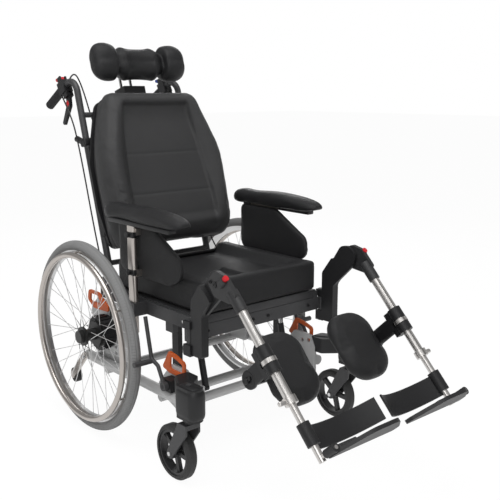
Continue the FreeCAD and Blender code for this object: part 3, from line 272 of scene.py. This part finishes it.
CHAMPAGNE = (0.50, 0.465, 0.435)
LEG_ALLOY = (0.64, 0.62, 0.60)
UPRIGHT = ((0, 0, 0), 0)
LEG_TOP = (0.0, -0.580, 0.572)
LEG_SLOPE = 43.9
TUBE_GRAIN, ROD_GRAIN = (900, 900, 12), (700, 700, 20)
alloy, _ = drawn("satin_aluminium", CHAMPAGNE, 0.36, *UPRIGHT, TUBE_GRAIN)
ring_alloy = coating("handrim_aluminium", CHAMPAGNE, 0.34, 1300.0, 0.00003, metal=1.0, spread=0.04)
rim_alloy = coating("rim_aluminium", grey(0.60), 0.34, 1300.0, 0.00003, metal=1.0, spread=0.04)
bright, _ = drawn("bright_steel", grey(0.80), 0.16, *UPRIGHT, ROD_GRAIN)
foot_alloy, _ = drawn("foot_tube_aluminium", LEG_ALLOY, 0.34, LEG_TOP, LEG_SLOPE, TUBE_GRAIN)
print("metals made")

# %% [markdown]
# The leg tubes are extrusions with a slot down one side, and the same piece ends in the black knee casting.
# Both come from where a point lies in the leg's own frame: its height picks the casting, its angle the slot. The
# slot is painted darker than the alloy, a painted shade inside the groove.

# %% Leg tube: casting and slotted extrusion
LEG_TRACK = 0.258
CASTING_EDGE = (-0.1068, -0.1063)
SLOT_TURN = 0.25


def leg_finish(name, side):
    top = (side * LEG_TRACK, *LEG_TOP[1:])
    finish, along = drawn(name, LEG_ALLOY, 0.34, top, LEG_SLOPE, TUBE_GRAIN)
    across, depth, height = finish.axes(along)
    angle = finish.sum("ARCTAN2", across * -side, depth * -1.0 - 0.032)
    slot = 1 - finish.step((angle - SLOT_TURN).math("ABSOLUTE"), 0.08, 0.20)
    casting = finish.step(height, *CASTING_EDGE)
    clear = 1 - casting
    grain = finish.noise(900.0, 2.0)
    old = finish.shader.inputs["Base Color"].links[0].from_socket
    # painted shade: the slot is darkened towards 30% of the alloy colour to stand for the shade in the groove
    metal = finish.blend(slot * 0.75, Value(finish, old), shade(LEG_ALLOY, 0.30))
    finish.set(Base_Color=finish.blend(casting, metal, (0.020, 0.020, 0.021, 1)), Metallic=clear,
               Roughness=0.34 + casting * 0.12 + grain * casting * 0.08)
    finish.bump(slot * clear * -1.0 + grain * casting * 0.2, 0.0004)
    return finish


leg_finishes = {name: leg_finish("leg_tube_" + name, side) for name, side in SIDES.items()}
print("leg finishes", list(leg_finishes))

# %% [markdown]
# A wheel's finishes follow its radius: spokes are bright where the hub ends, the tyre has ribs round its tread.

# %% Wheels
WHEEL_AXLE, CASTOR_AXLE = (0.0, 0.305), (-0.468, 0.080)
TYRE_TRACK = 0.336


def wheel_axes(finish, axle):
    x, across, height = finish.axes()
    across = across - axle[0]
    height = height - axle[1]
    radius = (across * across + height * height).math("SQRT")
    return x, finish.sum("ARCTAN2", height, across), radius


def tyre_finish(name, side):
    finish = Finish(name)
    x, angle, radius = wheel_axes(finish, WHEEL_AXLE)
    offset = (x - side * TYRE_TRACK).math("ABSOLUTE")
    crown = finish.step(radius, 0.294, 0.297)
    groove = 1 - finish.step((offset - 0.0045).math("ABSOLUTE"), 0.0004, 0.0011)
    sipe = finish.step((angle * 210.0).math("SINE"), 0.80, 0.95) * finish.step(offset, 0.0055, 0.0065)
    rib = 1 - finish.step((radius - 0.283).math("ABSOLUTE"), 0.0006, 0.0014)
    broad = finish.noise(11.0, 4.0)
    fine = finish.noise(700.0, 2.0)
    tread = (groove + sipe * 0.8) * crown
    colour = finish.blend(broad, grey(0.205), grey(0.245))
    # painted shade: the grooves and sipes of the tread are painted darker than the rubber around them
    finish.set(Base_Color=finish.blend(tread * 0.35, colour, grey(0.12)), Roughness=0.60 + fine * 0.14,
               Specular_IOR_Level=0.3)
    finish.bump(fine * 0.06 - tread + rib * 0.5, 0.0009)
    return finish


def hub_finish(name):
    finish = Finish(name)
    _, _, radius = wheel_axes(finish, WHEEL_AXLE)
    wire = finish.step(radius, 0.0532, 0.0536)
    fine = finish.noise(900.0, 2.0)
    finish.set(Base_Color=finish.blend(wire, grey(0.014), grey(0.72)), Metallic=wire,
               Roughness=0.42 - wire * 0.16 + fine * 0.08)
    finish.bump(fine * (1 - wire), 0.0001)
    return finish


def castor_finish(name):
    finish = Finish(name)
    _, _, radius = wheel_axes(finish, CASTOR_AXLE)
    tread = finish.step(radius, 0.0655, 0.0662)
    cap = 1 - finish.step(radius, 0.0110, 0.0114)
    fine = finish.noise(650.0, 2.0)
    rib = 1 - finish.step((radius - 0.0715).math("ABSOLUTE"), 0.0004, 0.001)
    colour = finish.blend(tread, (0.017, 0.017, 0.018, 1), grey(0.026))
    finish.set(Base_Color=finish.blend(cap, colour, grey(0.45)), Metallic=cap,
               Roughness=0.42 + tread * 0.20 + fine * 0.08)
    finish.bump(fine * 0.12 - rib * tread, 0.0006)
    return finish


def fork_finish(name):
    finish = Finish(name)
    _, _, radius = wheel_axes(finish, CASTOR_AXLE)
    bolt = 1 - finish.step(radius, 0.0061, 0.0063)
    fine = finish.noise(1200.0, 2.0)
    finish.set(Base_Color=finish.blend(bolt, (0.040, 0.040, 0.042, 1), grey(0.66)), Metallic=bolt,
               Roughness=0.46 - bolt * 0.16 + fine * 0.08)
    finish.bump(fine, 0.00008)
    return finish


tyres = {name: tyre_finish("tyre_rubber_" + name, side) for name, side in SIDES.items()}
hub_black = hub_finish("hub_and_spokes")
castor_black = castor_finish("castor_rubber")
fork_black = fork_finish("castor_fork_paint")
print("wheel finishes made")

# %% [markdown]
# The push grips are soft rubber with rings round them, and the lever housings in the same node are nylon.
# The handle slopes with the back, so its frame is turned by the back's lean plus its own drop.

# %% Grips and ribbed soles
GRIP_PLACE, GRIP_SLOPE = (0, 0.2416, 1.1181), 28.7
grip_rubber = Finish("ribbed_grip")
handle = grip_rubber.turned(GRIP_PLACE, GRIP_SLOPE)
_, reach, _ = grip_rubber.axes(handle)
sleeve = grip_rubber.step(reach, 0.1035, 0.1045)
ring = grip_rubber.step((reach * 900.0).math("SINE"), -0.3, 0.5)
pores = grip_rubber.noise(900.0, 2.0)
# painted highlight: the raised rings of the grip are painted paler than the grooves between them
grip_rubber.set(Base_Color=grip_rubber.blend(ring * sleeve, shade(BLACK, 1.0), shade(BLACK, 1.6)),
                Roughness=0.46 + sleeve * 0.2 + pores * 0.06, Specular_IOR_Level=0.35)
grip_rubber.bump(ring * sleeve + pores * 0.08, 0.0012)

sole_nylon = Finish("ribbed_sole")
sole = sole_nylon.turned(LEG_TOP, LEG_SLOPE)
across, _, height = sole_nylon.axes(sole)
top = sole_nylon.step(height, -0.5155, -0.5150)
stripe = sole_nylon.step((across * 520.0).math("SINE"), 0.1, 0.7) * top
pores = sole_nylon.noise(850.0, 2.0)
# painted highlight: the raised ribs on the sole are painted paler than the grooves between them
sole_nylon.set(Base_Color=sole_nylon.blend(stripe, (0.018, 0.018, 0.019, 1), (0.024, 0.024, 0.025, 1)),
               Roughness=0.46 + pores * 0.10, Specular_IOR_Level=0.4)
sole_nylon.bump(stripe + pores * 0.1, 0.0009)
print("grip and sole finishes made")

# %% [markdown]
# Each rigid node of the frame now takes its finish. The shapes stay exactly as they were built.

# %% Finish the rigid nodes
plan = {
    "base_frame": silver_paint, "frame_brackets": housing_nylon, "tie_down_loops": orange_paint,
    "seat_frame": grey_steel, "back_canes": grey_steel, "back_shell": housing_nylon, "push_grips": grip_rubber,
    "headrest_posts": bright, "tilt_lever": red_plastic, "recline_lever": blue_plastic,
    "tilt_cylinder": nylon, "tilt_rod": bright, "recline_cylinder": nylon, "recline_rod": bright,
}
sided = {
    "rim": rim_alloy, "hub": hub_black, "handrim": ring_alloy, "castor_fork": fork_black,
    "castor_wheel": castor_black, "arm_post": alloy, "hanger": housing_nylon, "knee_button": red_plastic,
    "calf_arm": nylon, "lower_leg": foot_alloy, "heel_support": housing_nylon, "footplate": sole_nylon,
    "brake_lever": nylon, "parking_brake": grey_steel, "anti_tip": alloy, "anti_tip_wheel": roller_rubber,
}
for name in SIDES:
    plan.update({part + "_" + name: finish for part, finish in sided.items()})
    plan.update({"tyre_" + name: tyres[name], "leg_tube_" + name: leg_finishes[name]})
for name, finish in plan.items():
    if not nodes[name].material_slots:
        nodes[name].data.materials.append(finish.material)
    for slot in nodes[name].material_slots:
        slot.material = finish.material
print("finished", len(plan), "rigid nodes")

# %% [markdown]
# Upholstery. Each pad is cut from the space its solid holds: a welded copy of the solid is remeshed into an
# even skin, blown up a little as foam under a tight cover, and smoothed. The left side mirrors the right.

# %% Foam and cover helpers
WELD = 0.00001
TUCK = 0.002
PRESSURE = 4.0
COVER_FRAMES = 20
ROUND_EDGE = math.radians(40)


def alone(piece):
    bpy.ops.object.select_all(action="DESELECT")
    piece.select_set(True)
    bpy.context.view_layer.objects.active = piece


def apply(piece, kind, **settings):
    alone(piece)
    modifier = piece.modifiers.new(kind.lower(), kind)
    for key, value in settings.items():
        setattr(modifier, key, value)
    bpy.ops.object.modifier_apply(modifier=modifier.name)


def box_piece(name, low, high, bevel, segments=3, slant=0.0):
    centre = [(a + b) / 2 for a, b in zip(low, high)]
    bpy.ops.mesh.primitive_cube_add(size=1, location=centre)
    piece = bpy.context.object
    piece.name = name
    piece.scale = [b - a for a, b in zip(low, high)]
    bpy.ops.object.transform_apply(location=True, rotation=True, scale=True)
    for vertex in piece.data.vertices:
        vertex.co.x += slant * (vertex.co.y - low[1])
    apply(piece, "BEVEL", width=bevel, segments=segments, limit_method="ANGLE")
    bpy.ops.object.shade_smooth_by_angle(angle=ROUND_EDGE)
    return piece


def blank(node, name, largest=False):
    piece = bpy.data.objects.new(name, nodes[node].data.copy())
    scene.collection.objects.link(piece)
    piece.data.materials.clear()
    alone(piece)
    bpy.ops.object.mode_set(mode="EDIT")
    bpy.ops.mesh.select_all(action="SELECT")
    bpy.ops.mesh.remove_doubles(threshold=WELD)
    bpy.ops.object.mode_set(mode="OBJECT")
    if largest:
        bpy.ops.object.mode_set(mode="EDIT")
        bpy.ops.mesh.separate(type="LOOSE")
        bpy.ops.object.mode_set(mode="OBJECT")
        parts = sorted(bpy.context.selected_objects, key=lambda part: part.dimensions.x)
        piece = parts[-1]
        for part in parts[:-1]:
            bpy.data.objects.remove(part)
        piece.name = name
    return piece


def foam(piece, voxel, limit, rounds=5):
    alone(piece)
    piece.data.remesh_voxel_size = voxel
    bpy.ops.object.voxel_remesh()
    apply(piece, "SMOOTH", factor=0.5, iterations=rounds)
    bpy.ops.object.mode_set(mode="EDIT")
    bpy.ops.mesh.select_all(action="SELECT")
    bpy.ops.transform.shrink_fatten(value=-TUCK)
    bpy.ops.object.mode_set(mode="OBJECT")
    start = [vertex.co.copy() for vertex in piece.data.vertices]
    cover = piece.modifiers.new("cover", "CLOTH")
    cover.settings.use_pressure = True
    cover.settings.uniform_pressure_force = PRESSURE
    cover.settings.effector_weights.gravity = 0.0
    cover.collision_settings.use_collision = False
    for step in range(1, COVER_FRAMES + 1):
        scene.frame_set(step)
    swollen = piece.evaluated_get(bpy.context.evaluated_depsgraph_get()).data
    moved = [vertex.co.copy() for vertex in swollen.vertices]
    piece.modifiers.remove(cover)
    scene.frame_set(1)
    for vertex, before, after in zip(piece.data.vertices, start, moved):
        step = after - before
        if step.length > limit:
            step = step.normalized() * limit
        vertex.co = before + step
    apply(piece, "SMOOTH", factor=0.4, iterations=3)
    return piece


def finer(piece):
    apply(piece, "SUBSURF", levels=1, render_levels=1)
    bpy.ops.object.shade_smooth()
    return piece


def press(piece, depth_at):
    outward = [vertex.normal.copy() for vertex in piece.data.vertices]
    for vertex, normal in zip(piece.data.vertices, outward):
        vertex.co = vertex.co - normal * depth_at(vertex.co)
    piece.data.update()
    return piece


def line(distance, width):
    return math.exp(-(distance / width) ** 2)


def smooth(value, low, high):
    share = max(0.0, min(1.0, (value - low) / (high - low)))
    return share * share * (3 - 2 * share)


def mirrored(piece, name):
    twin = piece.copy()
    twin.data = piece.data.copy()
    twin.name = name
    scene.collection.objects.link(twin)
    twin.data.transform(Matrix.Diagonal((-1, 1, 1, 1)))
    twin.data.flip_normals()
    return twin


def dress(piece, finish, body, slot, *replaced, fill=None):
    piece.data.materials.clear()
    piece.data.materials.append(finish.material)
    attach(piece, body)
    if replaced:
        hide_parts(*replaced)
    print(piece.name, len(piece.data.polygons), "faces on", body)


print("foam helpers ready")

# %% [markdown]
# The covers are charcoal satin vinyl: small leather cells whose edges are painted darker as shade in the grain, a
# soft gloss, slightly paler where the cover stretches.


# %% Vinyl
def vinyl(name, colour, rough=0.46, cells=620.0):
    finish = Finish(name)
    cell = finish.node("ShaderNodeTexVoronoi", {"feature": "DISTANCE_TO_EDGE"},
                       {"Vector": finish.place, "Scale": cells})
    crease = 1 - finish.step(cell, 0.0, 0.16)
    broad = finish.noise(7.0, 5.0)
    cloud = finish.noise(60.0, 3.0)
    colour_map = finish.blend(broad, shade(colour, 0.86), shade(colour, 1.14))
    # painted shade: the edges of the leather cells, sunk in the bump, are painted darker than the vinyl
    finish.set(Base_Color=finish.blend(crease * 0.4, colour_map, shade(colour, 0.6)),
               Roughness=rough - 0.05 + cloud * 0.10 + crease * 0.06, Specular_IOR_Level=0.28)
    finish.bump(cloud * 0.25 - crease, 0.00018)
    return finish


cover_vinyl = vinyl("charcoal_vinyl", (0.040, 0.040, 0.041))
seat_vinyl = vinyl("seat_vinyl", (0.017, 0.017, 0.018))
pad_skin = vinyl("moulded_pad_skin", (0.014, 0.014, 0.015), 0.40, 900.0)
print("vinyl ready")

# %% [markdown]
# Back cushion: a raised border round a hollowed middle, two sewn channels across it and a lumbar roll below.
# The channels are pressed in after the remesh, along lines measured in the back's own leaning frame.

# %% Back cushion
LEAN = math.radians(16)
BACK_FOOT = (0, 0.050, 0.450)
CHANNELS = (0.395, 0.260)
CHANNEL_WIDTH, CHANNEL_DEPTH = 0.0046, 0.0013
PANEL_HALF, PANEL_TOP = 0.172, 0.572
TAPER, TAPER_FROM = 0.100, 0.248
HOLLOW_DEPTH, BORDER_RISE = 0.002, 0.007
WELT_PLACE, WELT_WIDTH, WELT_DEPTH = 0.066, 0.0035, 0.0032


def on_back(point):
    y, z = point.y - BACK_FOOT[1], point.z - BACK_FOOT[2]
    return point.x, y * math.cos(LEAN) - z * math.sin(LEAN), y * math.sin(LEAN) + z * math.cos(LEAN)


def back_seams(point):
    x, v, w = on_back(point)
    edge = PANEL_HALF - TAPER * max(0.0, w - TAPER_FROM)
    at_rim = abs(x) > 0.12 or w > 0.56 or w < 0.13
    welt = WELT_DEPTH * line(v + WELT_PLACE, WELT_WIDTH) if at_rim else 0.0
    front = smooth(-v, 0.074, 0.092)
    hollow = smooth(edge - abs(x), 0.0, 0.018) * smooth(PANEL_TOP - w, 0.0, 0.020) * smooth(w, 0.150, 0.185)
    seams = sum(line(w - height, CHANNEL_WIDTH) for height in CHANNELS)
    sunk = hollow * (HOLLOW_DEPTH + CHANNEL_DEPTH * seams)
    return welt * (1 - front) + front * (sunk - (1 - hollow) * BORDER_RISE)


back_pad = press(finer(foam(blank("back_cushion", "back_upholstery"), 0.006, 0.006)), back_seams)
dress(back_pad, cover_vinyl, "back", "vinyl", "back_cushion", fill=0.8)

# %% [markdown]
# Seat cushion: a firm box with raised sides, a dished middle and a short ridge between the thighs.

# %% Seat cushion
SEAT_LOW, SEAT_HIGH = (-0.2285, -0.470, 0.4495), (0.2285, -0.018, 0.5465)
SEAT_WELTS = (0.531, 0.456)
DISH_DEPTH, RIDGE_HEIGHT = 0.030, 0.014


def seat_dish(point):
    top = smooth(point.z, 0.520, 0.538)
    hollow = smooth(0.186 - abs(point.x), 0.0, 0.040) * smooth(point.y, -0.452, -0.385)
    ridge = smooth(0.026 - abs(point.x), 0.0, 0.012)
    ridge *= smooth(point.y, -0.425, -0.405) * smooth(-point.y, 0.270, 0.300)
    welt = sum(line(point.z - height, 0.0030) * 0.0016 for height in SEAT_WELTS)
    return top * (DISH_DEPTH * hollow - RIDGE_HEIGHT * ridge * hollow) + welt * (1 - top)


seat_blank = box_piece("seat_upholstery", SEAT_LOW, SEAT_HIGH, 0.012)
seat_pad = press(finer(foam(seat_blank, 0.006, 0.003, rounds=2)), seat_dish)
dress(seat_pad, seat_vinyl, "seat", "vinyl", "seat_cushion", fill=0.85)

# %% [markdown]
# Headrest: a bow of foam with two full lobes, pinched where the lobes meet the middle.

# %% Headrest
LOBE_EDGE = 0.083
PINCH = 0.020


def head_seams(point):
    crease = PINCH * line(abs(point.x) - LOBE_EDGE, 0.010)
    return crease - 0.009 * smooth(0.076 - abs(point.x), 0.0, 0.022)


head_pad = press(finer(foam(blank("headrest_pad", "headrest_upholstery", largest=True), 0.005, 0.006)), head_seams)
dress(head_pad, pad_skin, "headrest", "vinyl", "headrest_pad", fill=0.8)

# %% [markdown]
# Arm pads, side panels and calf pads are made once for the right side and mirrored.

# %% Arm pads, side panels and calf pads
arm_pad = finer(foam(blank("arm_pad_right", "arm_pad_skin_right"), 0.004, 0.002))
side_pad = finer(foam(blank("side_panel_right", "side_pad_right"), 0.005, 0.003, rounds=8))
calf_pad = finer(foam(blank("calf_pad_right", "calf_upholstery_right"), 0.005, 0.005))
pads = {"right": (arm_pad, side_pad, calf_pad),
        "left": (mirrored(arm_pad, "arm_pad_skin_left"), mirrored(side_pad, "side_pad_left"),
                 mirrored(calf_pad, "calf_upholstery_left"))}
for name, (arm, panel, calf) in pads.items():
    dress(arm, pad_skin, "armrest_" + name, "vinyl", "arm_pad_" + name, fill=0.9)
    dress(panel, seat_vinyl, "armrest_" + name, "vinyl", "side_panel_" + name, fill=0.7)
    dress(calf, seat_vinyl, "calf_" + name, "vinyl", "calf_pad_" + name, fill=0.8)

# %% [markdown]
# Small fittings finish the chair: trays under the arm pads, clamps on the arm posts, an apron under the cushion,
# rounded shrouds over the castor blocks, cooling ribs on the drums and screw heads. Each starts as a primitive,
# is shaped in edit mode, and rides on the body that carries it.


# %% Fitting helpers
def rod_piece(name, radius, start, end, sides):
    start, end = Vector(start), Vector(end)
    bpy.ops.mesh.primitive_cylinder_add(vertices=sides, radius=radius, depth=(end - start).length,
                                        location=(start + end) / 2,
                                        rotation=(end - start).to_track_quat("Z", "Y").to_euler())
    piece = bpy.context.object
    piece.name = name
    bpy.ops.object.transform_apply(location=True, rotation=True, scale=True)
    return piece


def rounded_rod(name, radius, start, end, bevel, sides):
    piece = rod_piece(name, radius, start, end, sides)
    apply(piece, "BEVEL", width=bevel, segments=3, limit_method="ANGLE")
    bpy.ops.object.shade_smooth_by_angle(angle=ROUND_EDGE)
    return piece


def joined(pieces, name):
    bpy.ops.object.select_all(action="DESELECT")
    for piece in pieces:
        piece.select_set(True)
    bpy.context.view_layer.objects.active = pieces[0]
    bpy.ops.object.join()
    pieces[0].name = name
    return pieces[0]


def place(piece, matrix):
    piece.data.transform(matrix)
    return piece


LEG = Matrix.Translation(LEG_TOP) @ Matrix.Rotation(-math.radians(LEG_SLOPE), 4, "X")
BACK = Matrix.Translation(BACK_FOOT) @ Matrix.Rotation(-LEAN, 4, "X")
HANDLE_HEIGHT, HANDLE_DROP = 0.695, math.radians(12.68)
HANDLE = BACK @ Matrix.Translation((0, 0, HANDLE_HEIGHT)) @ Matrix.Rotation(-HANDLE_DROP, 4, "X")
print("fitting helpers ready")

# %% [markdown]
# Cables. A release cable arches from each lever box into the back shell. A brake cable runs down each cane and
# past both hinges, so its tube is cut at two heights into three lengths.

# %% Cables
CABLE_RADIUS = 0.0025
ABOVE, ELBOW, KNEE, FOOT, BELOW = 2.0, 0.62, 0.53, 0.43, 0.0


def cable(name, points):
    curve = bpy.data.curves.new(name, "CURVE")
    curve.dimensions = "3D"
    spline = curve.splines.new("NURBS")
    spline.points.add(len(points) - 1)
    for knot, point in zip(spline.points, points):
        knot.co = (*point, 1)
    spline.order_u = 3
    spline.use_endpoint_u = True
    spline.resolution_u = 16
    piece = bpy.data.objects.new(name, curve)
    scene.collection.objects.link(piece)
    track = bpy.data.meshes.new_from_object(piece)
    path = [vertex.co.copy() for vertex in track.vertices]
    curve.bevel_depth = CABLE_RADIUS
    curve.bevel_resolution = 3
    curve.use_fill_caps = True
    return piece, path


def run_length(path):
    return sum((b - a).length for a, b in zip(path, path[1:]))


def between(path, top, foot):
    part = []
    for above, below in zip(path, path[1:]):
        if below.z < top < above.z:
            part.append(above.lerp(below, (above.z - top) / (above.z - below.z)))
        if foot < above.z <= top:
            part.append(above)
        if below.z < foot < above.z:
            part.append(above.lerp(below, (above.z - foot) / (above.z - below.z)))
    return part + [path[-1]] if foot < path[-1].z else part


def cut_length(tube, name, top, foot):
    piece = tube.copy()
    piece.data = tube.data.copy()
    piece.name = name
    scene.collection.objects.link(piece)
    alone(piece)
    bpy.ops.object.mode_set(mode="EDIT")
    for height, away in ((top, "clear_outer"), (foot, "clear_inner")):
        bpy.ops.mesh.select_all(action="SELECT")
        bpy.ops.mesh.bisect(plane_co=(0, 0, height), plane_no=(0, 0, 1), use_fill=True, **{away: True})
    bpy.ops.object.mode_set(mode="OBJECT")
    bpy.ops.object.shade_smooth_by_angle(angle=ROUND_EDGE)
    piece.data.materials.append(cable_skin.material)
    return piece


for name, side in SIDES.items():
    arch = [HANDLE @ Vector((side * 0.192, 0.0615, 0.014)), HANDLE @ Vector((side * 0.190, 0.020, 0.030)),
            BACK @ Vector((side * 0.174, 0.016, 0.665)), BACK @ Vector((side * 0.158, 0.012, 0.508)),
            BACK @ Vector((side * 0.144, -0.0194, 0.474))]
    release, path = cable("release_cable_" + name, arch)
    release.data.materials.append(cable_skin.material)
    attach(release, "back")
    print(release.name, round(run_length(path), 3), "m")
    run_length(path)
    if side < 0:
        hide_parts("brake_cables")
    drop = [HANDLE @ Vector((side * 0.216, 0.096, -0.0246)), BACK @ Vector((side * 0.225, 0.040, 0.585)),
            BACK @ Vector((side * 0.225, 0.016, 0.485)), BACK @ Vector((side * 0.225, 0.016, 0.110)),
            Vector((side * 0.257, -0.024, 0.428)), Vector((side * 0.257, -0.024, 0.353))]
    whole, path = cable("brake_cable_route_" + name, drop)
    alone(whole)
    bpy.ops.object.convert(target="MESH")
    whole = bpy.context.object
    upper = cut_length(whole, "brake_cable_" + name, ABOVE, ELBOW)
    bend = cut_length(whole, "brake_cable_bend_" + name, ELBOW, KNEE)
    tail = cut_length(whole, "brake_cable_tail_" + name, KNEE, BELOW)
    bpy.data.objects.remove(whole)
    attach(upper, "back")
    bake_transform(bend)
    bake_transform(tail)
    for piece, top, foot in ((upper, ABOVE, ELBOW), (bend, ELBOW, KNEE), (tail, KNEE, BELOW)):
        part = between(path, top, foot)
        run_length(part)
    print("brake cable", name, round(run_length(path), 3), "m")

# %% [markdown]
# A button-head screw: a short cylinder whose top is inset and sunk into a six-sided socket.


# %% Screws
def screw(at, out, radius=0.006, height=0.0032):
    at, out = Vector(at), Vector(out).normalized()
    piece = rod_piece("screw", radius, at - out * 0.002, at + out * height, 18)
    bpy.ops.object.mode_set(mode="EDIT")
    bpy.ops.mesh.select_all(action="DESELECT")
    bpy.ops.object.mode_set(mode="OBJECT")
    for face in piece.data.polygons:
        face.select = face.normal.dot(out) > 0.9
    bpy.ops.object.mode_set(mode="EDIT")
    bpy.ops.mesh.select_mode(type="FACE")
    bpy.ops.mesh.inset(thickness=radius * 0.28, depth=height * 0.25)
    bpy.ops.mesh.inset(thickness=radius * 0.22, depth=0)
    bpy.ops.mesh.extrude_region_move(TRANSFORM_OT_translate={"value": tuple(-out * height * 0.7)})
    bpy.ops.object.mode_set(mode="OBJECT")
    bpy.ops.object.shade_smooth_by_angle(angle=math.radians(35))
    return piece


PLATE_SCREWS = ((0.080, 0.330), (-0.080, 0.330), (-0.085, 0.230), (0.060, 0.215))
KNEE_SCREWS = ((0.0, 0.0), (-0.034, -0.052), (0.010, 0.016))
for name, side in SIDES.items():
    out = (side, 0, 0)
    plate = [screw((side * 0.254, y, z), out) for y, z in PLATE_SCREWS]
    dress(joined(plate, "axle_plate_screws_" + name), bright, "base", "chrome")
    knee = [screw(LEG @ Vector((side * 0.270, y, z)), out, 0.005) for y, z in KNEE_SCREWS]
    dress(joined(knee, "knee_screws_" + name), nylon, "leg_" + name, "black")
    rail = [screw((side * 0.242, y, 0.425), out, 0.005) for y in (-0.40, -0.10, 0.03)]
    dress(joined(rail, "seat_rail_screws_" + name), bright, "seat", "chrome")
front = [screw((x, -0.458, 0.403), (0, -1, 0), 0.005) for x in (-0.20, -0.03, 0.03, 0.20)]
dress(joined(front, "front_rail_screws"), nylon, "seat", "black")
print("screws set")

# %% [markdown]
# Armrest fittings: a shallow tray under the pad and two clamps round the post, each with a small knob.

# %% Armrest fittings
CLAMP_HEIGHTS = (0.536, 0.650)
for name, side in SIDES.items():
    xs = sorted((side * 0.2575, side * 0.2845))
    tray = box_piece("arm_tray_" + name, (xs[0], -0.395, 0.6775), (xs[1], -0.075, 0.6925), 0.004)
    dress(tray, nylon, "armrest_" + name, "black")
    clamps = []
    for height in CLAMP_HEIGHTS:
        xs = sorted((side * 0.2575, side * 0.2835))
        clamps.append(box_piece("clamp", (xs[0], -0.208, height - 0.009), (xs[1], -0.166, height + 0.009), 0.005))
        root, tip = (side * 0.282, -0.187, height), (side * 0.292, -0.187, height)
        clamps.append(rounded_rod("knob", 0.008, root, tip, 0.002, 12))
    dress(joined(clamps, "arm_clamps_" + name), nylon, "armrest_" + name, "black")

# %% [markdown]
# The cushion stands on an apron that closes the slot above the front rail.

# %% Seat apron
apron = box_piece("seat_apron", (-0.236, -0.4565, 0.421), (0.236, -0.444, 0.4492), 0.003)
dress(apron, grey_steel, "seat", "dark")

# %% [markdown]
# Castor shrouds: a rounded barrel over the stem and a softened neck to the rail, larger than the block inside.

# %% Castor shrouds
CASTOR_TRACK = 0.323
for name, side in SIDES.items():
    x = side * CASTOR_TRACK
    barrel = box_piece("barrel", (x - 0.0275, -0.581, 0.1975), (x + 0.0275, -0.492, 0.2945), 0.022, 5)
    neck = box_piece("neck", (x - 0.027, -0.520, 0.2335), (x + 0.027, -0.4245, 0.2870), 0.010, 4,
                     slant=-side * 0.56)
    dress(joined([barrel, neck], "castor_shroud_" + name), housing_nylon, "base", "black")

# %% [markdown]
# The drum brake is ribbed for cooling: every other side face of a cylinder is pushed out along its normal.

# %% Drum ribs
DRUM_RADIUS, DRUM_SIDES = 0.0536, 48
RIB_HEIGHT = 0.0032
for name, side in SIDES.items():
    ribs = rod_piece("drum_ribs_" + name, DRUM_RADIUS, (side * 0.264, *WHEEL_AXLE), (side * 0.294, *WHEEL_AXLE),
                     DRUM_SIDES)
    for face in ribs.data.polygons:
        turn = math.atan2(face.center.z - WHEEL_AXLE[1], face.center.y) / (2 * math.pi)
        face.select = abs(face.normal.x) < 0.5 and round(turn * DRUM_SIDES + 0.5) % 2 == 0
    bpy.ops.object.mode_set(mode="EDIT")
    bpy.ops.mesh.select_mode(type="FACE")
    bpy.ops.mesh.extrude_faces_move(TRANSFORM_OT_shrink_fatten={"value": RIB_HEIGHT})
    bpy.ops.object.mode_set(mode="OBJECT")
    dress(ribs, nylon, "rear_wheel_" + name, "black")

# %% [markdown]
# Calf clamps: a plate with a rounded end reaches back from the sleeve to the pad, with a wing knob on it.

# %% Calf brackets
CALF_PIN = (0.078, -0.248)
for name, side in SIDES.items():
    xs = sorted((side * 0.243, side * 0.2555))
    arm = box_piece("arm", (xs[0], 0.002, -0.272), (xs[1], 0.088, -0.224), 0.006)
    hub = rounded_rod("hub", 0.026, (side * 0.243, *CALF_PIN), (side * 0.257, *CALF_PIN), 0.004, 32)
    xs = sorted((side * 0.256, side * 0.264))
    wing = box_piece("wing", (xs[0], 0.062, -0.253), (xs[1], 0.094, -0.243), 0.004)
    eye = rounded_rod("eye", 0.009, (side * 0.255, *CALF_PIN), (side * 0.267, *CALF_PIN), 0.002, 16)
    bracket = place(joined([arm, hub, wing, eye], "calf_bracket_" + name), LEG)
    dress(bracket, nylon, "calf_" + name, "black")

# %% [markdown]
# A clamp wing on the leg collar, a red catch on each brake lever, and a pale plate on the headrest clamp.

# %% Collars, catches and clamp plate
CANE_TRACK = 0.204
for name, side in SIDES.items():
    xs = sorted((side * 0.273, side * 0.297))
    wing = box_piece("leg_collar_wing_" + name, (xs[0], -0.039, -0.367), (xs[1], -0.027, -0.355), 0.004)
    dress(place(wing, LEG), foot_alloy, "leg_" + name, "silver")
    x = side * CANE_TRACK
    catch = box_piece("brake_catch_" + name, (x - 0.0075, 0.078, -0.068), (x + 0.0075, 0.098, -0.050), 0.004)
    dress(place(catch, HANDLE), red_plastic, "brake_lever_" + name, "red")
for name, side in SIDES.items():
    x = side * CANE_TRACK
    stub = rounded_rod("stub", 0.0105, (x, 0.010, 0.468), (side * 0.207, 0.056, 0.494), 0.003, 24)
    collar = box_piece("collar", (x - 0.016, -0.014, 0.455), (x + 0.016, 0.018, 0.482), 0.006)
    dress(place(joined([stub, collar], "cane_clamp_" + name), BACK), nylon, "back", "black")
clamp = box_piece("head_clamp_plate", (-0.030, -0.010, 0.6498), (0.030, 0.026, 0.6525), 0.001)
dress(place(clamp, BACK), rim_alloy, "back", "silver")
